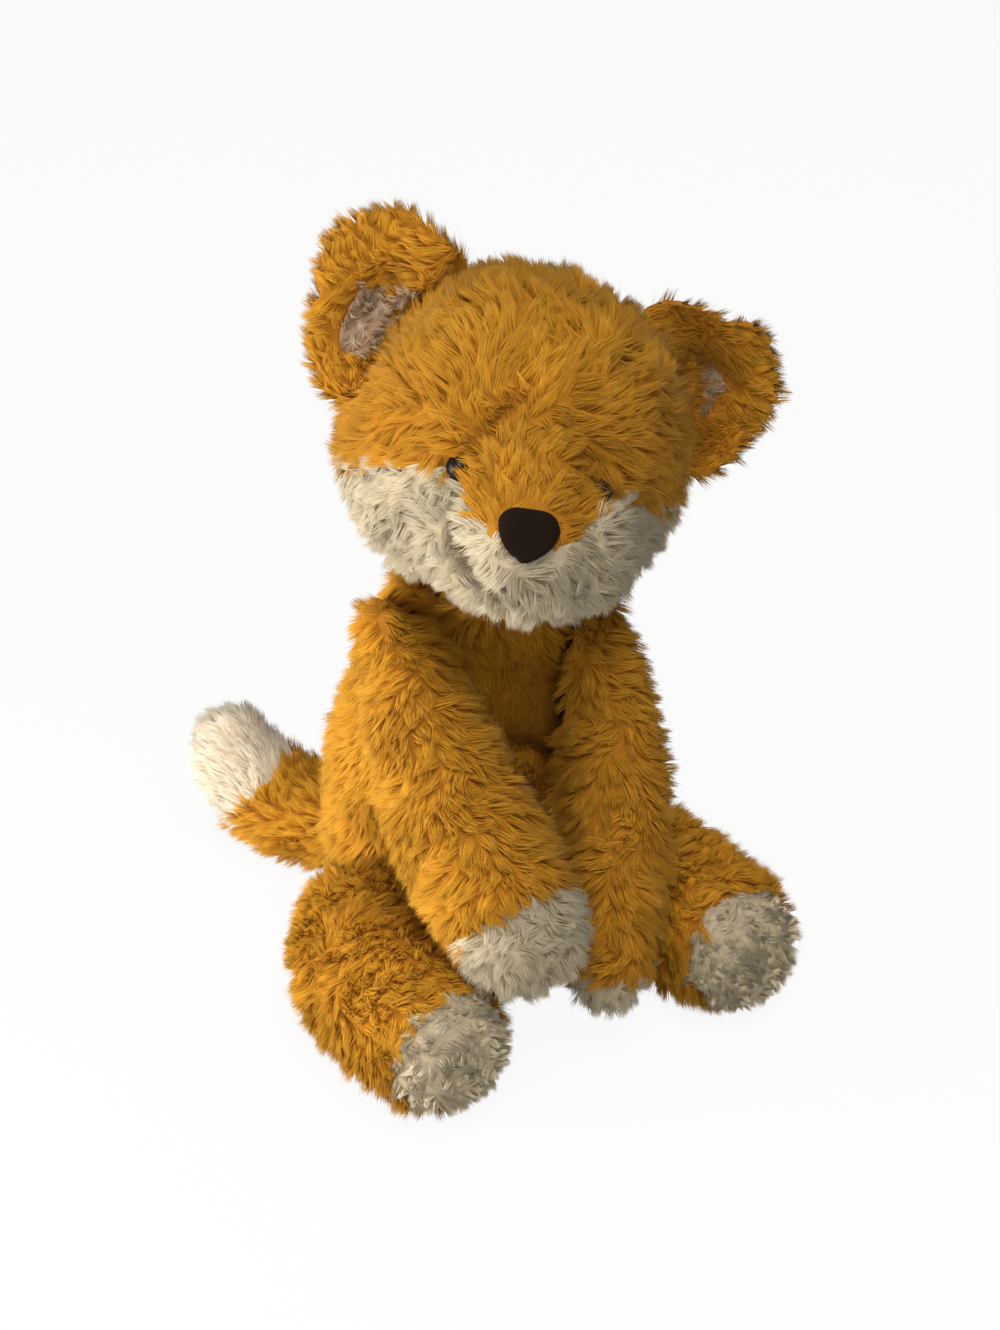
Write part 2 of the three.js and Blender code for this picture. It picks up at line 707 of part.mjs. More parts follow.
// Arms, hanging forwards between the legs and clear of the head as it turns and nods
const headOverArms = stuffedForm(headForm, -swingGap).applyMatrix4(headFrame);
const headPoses = turnSwingDegrees.map((turned) => {
  const turn = hingeTurn({ pivot: neckPivot, axis: up }, turned);
  return turn.multiply(hingeTurn(nodHinge, nodSwingDegrees[nodSwingDegrees.length - 1]));
});
for (const name of ['right', 'left']) {
  const side = name === 'right' ? -1 : 1;
  const shoulder = byShares(arm.shoulderShares[name], body);
  shoulder.x *= side;
  const armForm = {
    ...arm,
    route: limbRoute(armRouteShares[name], side, arm.length, shoulder),
    halfWidths: arm.girthShares[name].map((share) => (share * arm.width) / 2),
    halfDepths: arm.girthShares[name].map((share) => (share * arm.width) / 2),
    facing: forwards,
  };
  const pivot = shoulder.clone().addScaledVector(up, arm.width * arm.pivotShare);
  const hinge = { pivot, axis: new THREE.Vector3(...arm.hingeAxisShares[name]).normalize() };
  const group = addGroup(fox, pivot);
  group.name = `arm_${name}`;
  noteHinge(group, 'torso', hinge, armSwingDegrees[name]);
  const obstacles = [...metBySwing(torsoForm, hinge, armSwingDegrees[name]), ...legRooms, floor];
  for (const degrees of armSwingDegrees[name]) {
    const lifted = hingeTurn(hinge, -degrees);
    obstacles.push(...headPoses.map((pose) => solidOf(headOverArms, lifted.clone().multiply(pose))));
  }
  const names = [`arm_skin_${name}`, `paw_${name}`, `arm_filling_${name}`];
  addLimb(group, names, armForm, arm.pawShares[name], obstacles, 'whitePlush');
}

// Tail, curled round to the fox's right
const tailRoot = byShares(tail.rootShares, body);
const tailForm = {
  ...tail,
  route: limbRoute(tail.routeShares, 1, tail.length, tailRoot),
  halfWidths: tail.girthShares.map((share) => (share * tail.width) / 2),
  halfDepths: tail.girthShares.map((share) => (share * tail.width) / 2),
  facing: up,
};
const tailPivot = tailRoot.clone().add(new THREE.Vector3(tail.width * tail.pivotShare, 0, 0));
const tailHinge = { pivot: tailPivot, axis: up.clone().negate() };
const tailGroup = addGroup(fox, tailPivot);
tailGroup.name = 'tail';
noteHinge(tailGroup, 'torso', tailHinge, tailSwingDegrees);
addLimb(
  tailGroup,
  ['tail_base', 'tail_tip', 'tail_filling'],
  tailForm,
  tail.tipShare,
  [...metBySwing(torsoForm, tailHinge, tailSwingDegrees), floor],
  'creamPlush',
);

export default fox;
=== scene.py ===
"""A plush fox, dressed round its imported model: puffed hides, with pile grown on them in tufts."""

import json
import logging
import math
from dataclasses import dataclass, field
from enum import Enum
from typing import Union

import bmesh
import bpy
import numpy as np
from mathutils import Matrix, Vector
from mathutils.bvhtree import BVHTree
from mathutils.kdtree import KDTree


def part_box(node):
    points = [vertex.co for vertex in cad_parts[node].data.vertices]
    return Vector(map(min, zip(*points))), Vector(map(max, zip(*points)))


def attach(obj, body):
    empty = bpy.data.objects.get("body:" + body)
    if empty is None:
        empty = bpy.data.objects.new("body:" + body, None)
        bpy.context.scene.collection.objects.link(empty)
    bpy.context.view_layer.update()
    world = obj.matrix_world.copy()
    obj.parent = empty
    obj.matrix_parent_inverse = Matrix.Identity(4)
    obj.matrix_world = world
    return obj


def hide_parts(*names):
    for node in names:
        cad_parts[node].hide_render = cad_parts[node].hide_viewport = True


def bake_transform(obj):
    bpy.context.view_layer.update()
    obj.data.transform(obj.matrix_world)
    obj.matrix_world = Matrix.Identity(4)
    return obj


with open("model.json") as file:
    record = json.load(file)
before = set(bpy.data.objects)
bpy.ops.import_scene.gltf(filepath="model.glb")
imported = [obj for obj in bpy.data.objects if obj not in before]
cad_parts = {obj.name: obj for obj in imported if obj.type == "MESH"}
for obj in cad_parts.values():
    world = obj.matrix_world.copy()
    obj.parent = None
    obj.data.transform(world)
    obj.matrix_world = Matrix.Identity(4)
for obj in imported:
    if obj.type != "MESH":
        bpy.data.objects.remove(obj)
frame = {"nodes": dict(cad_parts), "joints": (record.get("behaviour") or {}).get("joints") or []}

log = logging.getLogger("plush_fox")

PILE_MAP = "OFBake"
MM = 0.001
SEED = 20417
PHOTO_HEIGHT = 1330
SIDES = ("right", "left")
ROOM_REACH = 12 * MM
PANEL_REACH = 60 * MM
FLOOR_SQUEEZE = 2 * MM
PUFF_FRAMES = 16

Array = np.ndarray
Triple = tuple[float, float, float]
Input = Union["Term", float, tuple]


# Materials


def feed(tree: bpy.types.NodeTree, slot: bpy.types.NodeSocket, value: Input) -> None:
    """Gives a node's input its value.

    Args:
        tree: The node's tree.
        slot: The input.
        value: A term, which is linked, or a plain value.
    """
    if isinstance(value, Term):
        tree.links.new(value.socket, slot)
    else:
        slot.default_value = value


class Term:
    """A number, colour or vector on a shader's socket, so that sums on it read as Python."""

    def __init__(self, tree: bpy.types.NodeTree, socket: bpy.types.NodeSocket) -> None:
        """Holds an output socket of a tree."""
        self.tree = tree
        self.socket = socket

    def _join(self, operation: str, left: Input, right: Input) -> "Term":
        """Adds a Math node.

        Args:
            operation: The Math node's operation.
            left: Its first value.
            right: Its second value.

        Returns:
            The node's result.
        """
        node = self.tree.nodes.new("ShaderNodeMath")
        node.operation = operation
        for slot, value in zip(node.inputs, (left, right)):
            feed(self.tree, slot, value)
        return Term(self.tree, node.outputs[0])

    def __add__(self, other: Input) -> "Term":
        """self + other."""
        return self._join("ADD", self, other)

    def __sub__(self, other: Input) -> "Term":
        """self - other."""
        return self._join("SUBTRACT", self, other)

    def __rsub__(self, other: Input) -> "Term":
        """other - self."""
        return self._join("SUBTRACT", other, self)

    def __mul__(self, other: Input) -> "Term":
        """self * other."""
        return self._join("MULTIPLY", self, other)


class Recipe:
    """A shader in the making: its node tree, and the calls that add nodes to it."""

    def __init__(self, owner: bpy.types.Material | bpy.types.World) -> None:
        """Starts with an empty tree.

        Args:
            owner: The material or world that the shader is for.
        """
        owner.use_nodes = True
        self.owner = owner
        self.tree = owner.node_tree
        self.tree.nodes.clear()

    def node(self, kind: str, inputs: dict | None = None, **settings: object) -> bpy.types.Node:
        """Adds a node.

        Args:
            kind: The node's type.
            inputs: The values or links of its sockets, by name or place.
            settings: Its own settings. stops are a ramp's places and colours.

        Returns:
            The node.
        """
        node = self.tree.nodes.new(kind)
        stops = settings.pop("stops", ())
        for name, value in settings.items():
            setattr(node, name, value)
        if stops:
            elements = node.color_ramp.elements
            while len(elements) < len(stops):
                elements.new(1)
            for element, (place, colour) in zip(elements, stops):
                element.position = place
                element.color = (*colour, 1)
        for name, value in (inputs or {}).items():
            feed(self.tree, node.inputs[name], value)
        return node

    def term(self, kind: str, inputs: dict | None = None, out: str | int = 0, **settings: object) -> Term:
        """Adds a node and gives one of its outputs."""
        return Term(self.tree, self.node(kind, inputs, **settings).outputs[out])

    def noise(self, vector: Term, scale: float, detail: float) -> Term:
        """A noise from 0 to 1, finer with a larger scale and with more detail."""
        inputs = {"Vector": vector, "Scale": scale, "Detail": detail, "Roughness": 0.6}
        return self.term("ShaderNodeTexNoise", inputs, "Fac")

    def scaled(self, colour: Term, by: Input) -> Term:
        """A colour times a number."""
        return self.term("ShaderNodeVectorMath", {"Vector": colour, "Scale": by}, operation="SCALE")

    def mix(self, share: Input, first: Input, second: Input) -> Term:
        """A mix of two colours, where the share is how much of the second it has."""
        inputs = {0: share, 6: first, 7: second}
        return self.term("ShaderNodeMix", inputs, 2, data_type="RGBA", clamp_factor=True)

    def seen(self) -> Term:
        """Tells what the camera sees from the light that falls on things.

        Returns:
            1 for a ray that the camera sees, straight, by reflection or through glass, and 0 for others.
        """
        path = self.node("ShaderNodeLightPath").outputs
        camera, glossy, through = (path[f"Is {kind} Ray"] for kind in ("Camera", "Glossy", "Transmission"))
        return Term(self.tree, camera) + Term(self.tree, glossy) + Term(self.tree, through)

    def done(self, shader: bpy.types.Node, output: str = "ShaderNodeOutputMaterial") -> bpy.types.ID:
        """Ends the tree with the shader that is seen, and gives its material or world."""
        self.node(output, {"Surface": Term(self.tree, shader.outputs[0])})
        return self.owner


@dataclass(frozen=True)
class Finish:
    """A finish: a named material of one Principled shader."""

    name: str

    def inputs(self, recipe: Recipe) -> dict:
        """What the shader is fed, by name."""
        raise NotImplementedError

    def material(self) -> bpy.types.Material:
        """Makes the material."""
        recipe = Recipe(bpy.data.materials.new(self.name))
        return recipe.done(recipe.node("ShaderNodeBsdfPrincipled", self.inputs(recipe)))


@dataclass(frozen=True)
class PlushFinish(Finish):
    """Pile that is dark at its root and light at its tip, read from the pile's own map.

    The map's first axis is a wisp's own tone, and its second runs from root to tip. The dark of the roots
    is partly painted shade, in the gaps between the tufts and in the creases that paint shade.
    """

    root: Triple
    low: Triple
    body: Triple
    tip: Triple
    dull: Triple
    contrast: float = 0.3
    dulling: float = 0.55
    streaks: float = 0.2
    streak_scale: float = 60.0
    sheen: float = 0.03
    sheen_tint: Triple = (1.0, 0.85, 0.6)

    def inputs(self, recipe: Recipe) -> dict:
        """Tints each wisp from root to tip, and dulls the wisps of a low tone.

        Args:
            recipe: The shader in the making.

        Returns:
            What the shader is fed, by name.
        """
        place = recipe.term("ShaderNodeUVMap", uv_map=PILE_MAP)
        split = recipe.node("ShaderNodeSeparateXYZ", {"Vector": place}).outputs
        tone, along = Term(recipe.tree, split[0]), Term(recipe.tree, split[1])
        stops = ((0.0, self.root), (0.3, self.low), (0.65, self.body), (1.0, self.tip))
        colour = recipe.term("ShaderNodeValToRGB", {"Fac": along}, stops=stops)
        streak = recipe.noise(place, self.streak_scale, 3.0)
        dulled = recipe.mix((1 - tone) * self.dulling, colour, (*self.dull, 1))
        lit = tone * self.contrast + (1 - self.contrast / 2) + (streak - 0.5) * self.streaks
        return {
            "Base Color": recipe.scaled(dulled, lit),
            "Roughness": 0.9,
            "Specular IOR Level": 0.12,
            "Sheen Weight": self.sheen,
            "Sheen Roughness": 0.5,
            "Sheen Tint": (*self.sheen_tint, 1),
        }


@dataclass(frozen=True)
class ClothFinish(Finish):
    """A smooth, closely woven or brushed cloth."""

    colour: Triple
    worn: Triple
    threads_per_metre: float = 2600.0
    cloud_threads: float = 12

    def inputs(self, recipe: Recipe) -> dict:
        """Tints the cloth by its nap and by larger clouds, and lifts the nap a little.

        Args:
            recipe: The shader in the making.

        Returns:
            What the shader is fed, by name.
        """
        place = recipe.term("ShaderNodeTexCoord", out="Object")
        nap = recipe.noise(place, self.threads_per_metre, 2.0)
        cloud = recipe.noise(place, self.threads_per_metre / self.cloud_threads, 3.0)
        colour = recipe.mix(nap * 0.5 + cloud * 0.5, (*self.colour, 1), (*self.worn, 1))
        bump = recipe.term("ShaderNodeBump", {"Strength": 0.5, "Distance": 0.3 * MM, "Height": nap}, "Normal")
        return {"Base Color": colour, "Roughness": 0.85, "Specular IOR Level": 0.05, "Normal": bump}


@dataclass(frozen=True)
class GlossFinish(Finish):
    """Polished moulded plastic, with faint wipe marks."""

    colour: Triple
    roughness: float = 0.1
    shine: float = 0.15
    mark_light: float = 1.6
    mark_roughness: float = 0.1

    def inputs(self, recipe: Recipe) -> dict:
        """Makes the wipe marks a little lighter and rougher.

        Args:
            recipe: The shader in the making.

        Returns:
            What the shader is fed, by name.
        """
        marks = recipe.noise(recipe.term("ShaderNodeTexCoord", out="Object"), 420.0, 4.0)
        light = tuple(part * self.mark_light for part in self.colour)
        return {
            "Base Color": recipe.mix(marks, (*self.colour, 1), (*light, 1)),
            "Roughness": marks * self.mark_roughness + self.roughness,
            "Specular IOR Level": self.shine,
        }


class Fabric(Enum):
    """The plush fabrics that the fox is sewn from."""

    AMBER = PlushFinish(
        "amber_plush",
        # The root is darkest partly as painted shade: the creases that paint shade, such as the hollow
        # between the arms, take this colour
        root=(0.075, 0.024, 0.0025),
        low=(0.47, 0.195, 0.014),
        body=(0.65, 0.312, 0.026),
        tip=(0.77, 0.415, 0.048),
        dull=(0.51, 0.230, 0.020),
    )
    WHITE = PlushFinish(
        "white_plush",
        root=(0.23, 0.175, 0.11),
        low=(0.50, 0.425, 0.30),
        body=(0.65, 0.575, 0.42),
        tip=(0.80, 0.725, 0.56),
        dull=(0.54, 0.465, 0.34),
    )
    CREAM = PlushFinish(
        "cream_plush",
        root=(0.60, 0.49, 0.35),
        low=(0.72, 0.62, 0.47),
        body=(0.86, 0.77, 0.62),
        tip=(0.95, 0.90, 0.80),
        dull=(0.76, 0.66, 0.52),
    )
    INNER_EAR = PlushFinish(
        "inner_ear_plush",
        root=(0.20, 0.10, 0.05),
        low=(0.45, 0.31, 0.20),
        body=(0.63, 0.48, 0.34),
        tip=(0.80, 0.67, 0.52),
        dull=(0.46, 0.33, 0.22),
    )


# Meshes


def new_object(name: str, data: bpy.types.ID) -> bpy.types.Object:
    """Links a mesh, lamp or camera to the scene as an object at the origin.

    Args:
        name: The object's name.
        data: What it holds.

    Returns:
        The object.
    """
    made = bpy.data.objects.new(name, data)
    bpy.context.scene.collection.objects.link(made)
    return made


def mesh_of(name: str, shape: bmesh.types.BMesh) -> bpy.types.Mesh:
    """Turns a bmesh into a mesh, and frees it.

    Args:
        name: The mesh's name.
        shape: The bmesh.

    Returns:
        The mesh.
    """
    mesh = bpy.data.meshes.new(name)
    shape.to_mesh(mesh)
    shape.free()
    return mesh


def remesh(piece: bpy.types.Object, voxel: float, rounds: int = 0) -> None:
    """Rebuilds an object's mesh with even faces.

    Args:
        piece: The object.
        voxel: The size of its new faces.
        rounds: How often it is evened then.
    """
    even = piece.modifiers.new("remesh", "REMESH")
    even.mode = "VOXEL"
    even.voxel_size = voxel
    if rounds:
        piece.modifiers.new("even", "SMOOTH").iterations = rounds
    apply_modifiers(piece)


def apply_modifiers(piece: bpy.types.Object) -> None:
    """Replaces an object's mesh by what its modifiers make of it.

    Args:
        piece: The object.
    """
    depsgraph = bpy.context.evaluated_depsgraph_get()
    shaped = bpy.data.meshes.new_from_object(piece.evaluated_get(depsgraph))
    piece.modifiers.clear()
    piece.data = shaped


def rows_of(items: bpy.types.bpy_prop_collection, name: str) -> Array:
    """A vector of each of a mesh's items, as rows.

    Args:
        items: The items.
        name: The vector's name.

    Returns:
        One row for each item.
    """
    found = np.empty(len(items) * 3)
    items.foreach_get(name, found)
    return found.reshape(-1, 3)


def coordinates(mesh: bpy.types.Mesh) -> Array:
    """The places of a mesh's vertices."""
    return rows_of(mesh.vertices, "co")


def normals_of(mesh: bpy.types.Mesh) -> Array:
    """The normals at a mesh's vertices."""
    return rows_of(mesh.vertex_normals, "vector")


def move_vertices(mesh: bpy.types.Mesh, points: Array) -> None:
    """Gives a mesh's vertices new places."""
    mesh.vertices.foreach_set("co", points.astype(np.float32).ravel())
    mesh.update()


def unit(rows: Array) -> Array:
    """Each row with a length of 1."""
    return rows / np.maximum(np.linalg.norm(rows, axis=1, keepdims=True), 1e-9)


def laid(ways: Array, normals: Array) -> Array:
    """Each way laid flat on the surface with these normals, with a length of 1."""
    return unit(ways - normals * (ways * normals).sum(1, keepdims=True))


def leaned(starts: Array, normals: Array, ways: Array, length: Array, lean: Array) -> Array:
    """Where hairs end that start on a surface and lean from its normals along their ways."""
    high, far = length * np.cos(lean), length * np.sin(lean)
    return starts + normals * high[:, None] + ways * far[:, None]


def smooth_step(values: Array, low: float, high: float) -> Array:
    """A rise from 0 to 1 between two values, level at both ends."""
    share = np.clip((values - low) / (high - low), 0, 1)
    return share * share * (3 - 2 * share)


def away_from(place: Array, points: Array, low: float, high: float) -> Array:
    """A rise from 0 to 1 between two distances from a place."""
    return smooth_step(np.linalg.norm(points - place, axis=1), low, high)


def middle_of(node: str) -> Array:
    """The middle of a CAD node's box."""
    return np.array(sum(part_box(node), Vector())) / 2


def joined_nodes(names: list[str]) -> bmesh.types.BMesh:
    """A merged copy of some CAD nodes.

    Args:
        names: The nodes' names.

    Returns:
        The bmesh with all of them.
    """
    shape = bmesh.new()
    for name in names:
        shape.from_mesh(frame["nodes"][name].data)
    bmesh.ops.remove_doubles(shape, verts=shape.verts, dist=0.01 * MM)
    return shape


def tree_of(names: list[str]) -> BVHTree:
    """A search tree over the faces of some CAD nodes."""
    return BVHTree.FromBMesh(joined_nodes(names))


def distances(points: Array, tree: BVHTree, reach: float) -> tuple[Array, Array]:
    """How far points are from a surface, and which way it lies.

    Args:
        points: The points.
        tree: The surface's search tree.
        reach: The distance past which it isn't looked for.

    Returns:
        The distances, and the unit vectors towards the surface.
    """
    far = np.full(len(points), reach)
    towards = np.zeros((len(points), 3))
    for index, point in enumerate(points):
        place, _, _, distance = tree.find_nearest(point, reach)
        if place is not None:
            far[index] = distance
            towards[index] = place - Vector(point)
    return far, unit(towards)


class Swell:
    """A smooth random field, made of a few seeded waves."""

    def __init__(self, seed: int, wavelength: float, waves: int = 9) -> None:
        """Draws the waves.

        Args:
            seed: The seed of the draw.
            wavelength: About how long each wave is.
            waves: How many there are.
        """
        draw = np.random.default_rng(seed)
        self.steps = unit(draw.normal(size=(waves, 3))) * (2 * math.pi / wavelength)
        self.steps *= draw.uniform(0.6, 1.5, (waves, 1))
        self.starts = draw.uniform(0, 2 * math.pi, waves)

    def at(self, points: Array) -> Array:
        """Reads the field, which is about -1 to 1, at some points."""
        return np.sin(points @ self.steps.T + self.starts).sum(1) / math.sqrt(len(self.starts))


# Pile


@dataclass(frozen=True)
class Coat:
    """How the pile of a panel stands, in metres, degrees and shares."""

    length: float = 8.5 * MM
    spacing: float = 3.9 * MM
    width: float = 0.66 * MM
    density: float = 2.05e6
    lean: float = 52.0
    gather: float = 0.5
    swirl: float = 42.0
    scatter: float = 18.0
    curl: float = 0.06
    ruffle: float = 26 * MM
    relief: float = 0.4
    # The pile's lightness. On the amber panels, which are one fabric, its differences are painted light and
    # shade
    tone: float = 0.5


@dataclass(frozen=True)
class Habit:
    """What all pile has in common: how its tufts and wisps differ, in mm, degrees and shares.

    The limits of the lean are in radians, and tufts is how many grow on the square of a coat's spacing.
    """

    tufts: float = 1.1
    tuft_lean: float = 9
    lean_limits: tuple[float, float] = (0.2, 1.35)
    tuft_length: tuple[float, float] = (0.8, 1.15)
    tone_swell: float = 0.16
    tone_wave: float = 15
    tuft_tone: float = 0.12
    open_room: tuple[float, float] = (0.3, 1.6)
    wisp_lean: float = 7
    strays: float = 0.05
    stray_lean: float = 0.6
    stray_width: float = 0.6
    stray_gather: float = 0.1
    wisp_length: tuple[float, float] = (0.82, 1.12)
    spare_room: float = 3.5
    full_room: float = 8
    shortest: float = 0.45
    tip_spread: float = 0.45
    early_lean: float = 0.45
    bow: float = 0.04
    root_depth: float = 0.6
    wisp_width: tuple[float, float] = (0.65, 1.2)
    thickness: float = 0.7
    wisp_tone: float = 0.10
    map_margin: float = 0.03
    map_width: float = 0.02
    map_root: float = 0.08
    map_length: float = 0.9


HABIT = Habit()


@dataclass(frozen=True)
class Panel:
    """A sewn panel: its fabric, its coat, how far past its CAD node it reaches, and its shift in mm."""

    fabric: Fabric
    coat: Coat
    reach: float = 0.0
    shift: Triple = (0.0, 0.0, 0.0)


# The amber panels are one fabric; their tones are painted light and shade: darker on the crown and the short
# pile, lighter on the trunk and on the right leg than on the left one
AMBER = Panel(Fabric.AMBER, Coat(spacing=3.8 * MM, gather=0.46, tone=0.56))
SHORT = Panel(
    Fabric.AMBER,
    Coat(length=7 * MM, spacing=3.4 * MM, width=0.6 * MM, density=2.25e6, gather=0.48, swirl=30, tone=0.4),
)
# The crown's low tone is painted shade
CROWN = Panel(
    Fabric.AMBER,
    Coat(spacing=3.6 * MM, lean=55, gather=0.44, swirl=50, scatter=22, ruffle=22 * MM, tone=0.28),
)
# The high tones of the trunk and the right leg are painted light
TRUNK = Panel(Fabric.AMBER, Coat(spacing=3.6 * MM, lean=57, gather=0.36, swirl=40, scatter=16, tone=0.8))
LEG = Panel(Fabric.AMBER, Coat(spacing=3.8 * MM, lean=56, gather=0.4, swirl=36, scatter=16, tone=0.85))
WHITE_COAT = Coat(
    length=7.5 * MM, spacing=4.0 * MM, lean=50, gather=0.5, swirl=60, scatter=30, curl=0.12, ruffle=13 * MM
)
WHITE = Panel(Fabric.WHITE, WHITE_COAT)
PAW = Panel(Fabric.WHITE, WHITE_COAT, reach=1.5 * MM)
SOLE_COAT = Coat(
    length=5.5 * MM, spacing=3.4 * MM, width=0.62 * MM, density=2.5e6, lean=48, gather=0.85, swirl=60,
    scatter=60, curl=0.05, ruffle=11 * MM, relief=0.7, tone=0.95,
)
SOLE = Panel(Fabric.WHITE, SOLE_COAT, reach=3.5 * MM)
CREAM = Panel(
    Fabric.CREAM, Coat(length=7.5 * MM, spacing=4.2 * MM, lean=58, gather=0.35, swirl=25, scatter=14)
)
PAD_COAT = Coat(
    length=6 * MM, spacing=3.0 * MM, width=0.55 * MM, lean=46, gather=0.6, swirl=75, scatter=45, curl=0.12,
    relief=0.7,
)
PADS = {
    "right": Panel(Fabric.INNER_EAR, PAD_COAT, reach=6.2 * MM, shift=(-4.6, -1.0, -6.0)),
    "left": Panel(Fabric.INNER_EAR, PAD_COAT, reach=1.0 * MM, shift=(-2.0, 0.5, -1.0)),
}


@dataclass(frozen=True)
class Crease:
    """A groove along some points, or a ridge where its depth is below zero, all in mm.

    Its painted shade is how much of the dark of their roots the wisps in it show: shade painted into
    the pile's colour. With a depth of 0 a crease is no dent, only a patch of painted shade.
    """

    points: tuple[Triple, ...]
    width: float
    depth: float
    # How much shade is painted into the pile along the crease
    painted_shade: float = 0.0
    falloff: float = 0.6

    def share(self, points: Array) -> Array:
        """How much of the crease is felt.

        Args:
            points: Where it is read.

        Returns:
            1 on the crease's line, and less away from it.
        """
        line = np.array(self.points) * MM
        nearest = np.linalg.norm(points - line[0], axis=1)
        for start, end in zip(line, line[1:]):
            along = end - start
            place = ((points - start) @ along / (along @ along)).clip(0, 1)
            nearest = np.minimum(nearest, np.linalg.norm(points - start - place[:, None] * along, axis=1))
        return np.exp(-((nearest / (self.width * MM * self.falloff)) ** 2))


@dataclass(frozen=True)
class Pull:
    """A soft pull on a hide: near its points the hide moves by its step, all in mm."""

    points: tuple[Triple, ...]
    width: float
    step: Triple

    def applied(self, points: Array) -> Array:
        """The hide's vertices, with the near ones moved."""
        share = Crease(self.points, self.width, 0.0).share(points)
        return points + share[:, None] * np.array(self.step) * MM


@dataclass
class PileMesh:
    """Points, triangles, map places and normals that are ready to become a part of a mesh."""

    points: Array
    triangles: Array
    places: Array
    normals: Array


@dataclass
class Skin:
    """A hide's surface as arrays: what the pile grows from."""

    points: Array
    normals: Array
    triangles: Array
    panels: Array
    room: Array
    comb: Array
    rise: Array
    # The shade painted into the pile at each vertex
    painted_shade: Array

    def areas(self) -> Array:
        """The area of each triangle."""
        a, b, c = (self.points[self.triangles[:, corner]] for corner in range(3))
        return np.linalg.norm(np.cross(b - a, c - a), axis=1) / 2

    def patch(self, panel: int, backing: float = 0.8) -> PileMesh:
        """The faces under one panel, closed by a backing a little way inside.

        Args:
            panel: Which panel.
            backing: How far inside its backing lies, in mm.

        Returns:
            The patch.
        """
        own = bmesh.new()
        numbers, corners = np.unique(self.triangles[self.panels == panel], return_inverse=True)
        verts = [own.verts.new(point) for point in self.points[numbers]]
        for a, b, c in corners.reshape(-1, 3):
            own.faces.new((verts[a], verts[b], verts[c]))
        own.normal_update()
        if any(edge.is_boundary for edge in own.edges):
            made = bmesh.ops.extrude_face_region(own, geom=own.faces[:], use_keep_orig=True)
            for vert in (item for item in made["geom"] if isinstance(item, bmesh.types.BMVert)):
                vert.co -= vert.normal * backing * MM
            bmesh.ops.recalc_face_normals(own, faces=own.faces[:])
        bmesh.ops.triangulate(own, faces=own.faces[:])
        own.verts.index_update()
        own.normal_update()
        points = np.array([vert.co for vert in own.verts])
        normals = np.array([vert.normal for vert in own.verts])
        triangles = np.array([[vert.index for vert in face.verts] for face in own.faces])
        own.free()
        tone = (0.5 + 0.2 * Swell(SEED + 2, 9 * MM).at(points)).clip(0.02, 0.98)
        depth = (0.2 + 0.04 * Swell(SEED + 3, 6 * MM).at(points)).clip(0.05, 0.35)
        return PileMesh(points, triangles, np.stack([tone, depth], 1), normals)


class Wisp:
    """One wisp of pile as a template: a three-sided spike, four faces in all."""

    def __init__(self) -> None:
        """Builds the template with bmesh and keeps its corners and faces as arrays."""
        shape = bmesh.new()
        bmesh.ops.create_cone(
            shape, cap_ends=True, cap_tris=False, segments=3, radius1=0.5, radius2=0.0, depth=1.0,
            matrix=Matrix.Translation((0, 0, 0.5)),
        )
        bmesh.ops.remove_doubles(shape, verts=shape.verts, dist=0.001)
        bmesh.ops.triangulate(shape, faces=shape.faces[:])
        bmesh.ops.recalc_face_normals(shape, faces=shape.faces[:])
        shape.verts.ensure_lookup_table()
        self.corners = np.array([vert.co for vert in shape.verts])
        self.faces = np.array([[vert.index for vert in face.verts] for face in shape.faces])
        shape.free()


class Scatter:
    """Random places on the faces of a skin."""

    def __init__(self, skin: Skin, wanted: Array, draw: np.random.Generator) -> None:
        """Draws the places.

        Args:
            skin: The skin.
            wanted: How many places each face has on average.
            draw: The source of the draws.
        """
        counts = np.floor(wanted + draw.random(len(wanted))).astype(int)
        self.faces = np.repeat(np.arange(len(counts)), counts)
        root = np.sqrt(draw.random(len(self.faces)))
        turn = draw.random(len(self.faces))
        self.corners = skin.triangles[self.faces]
        self.shares = np.stack([1 - root, root * (1 - turn), root * turn], 1)

    def keep(self, kept: Array) -> None:
        """Keeps some of the places."""
        self.faces, self.corners, self.shares = self.faces[kept], self.corners[kept], self.shares[kept]

    def read(self, values: Array) -> Array:
        """Values of the skin's vertices, read at the places."""
        found = values[self.corners]
        return (found * (self.shares[:, :, None] if found.ndim == 3 else self.shares)).sum(1)


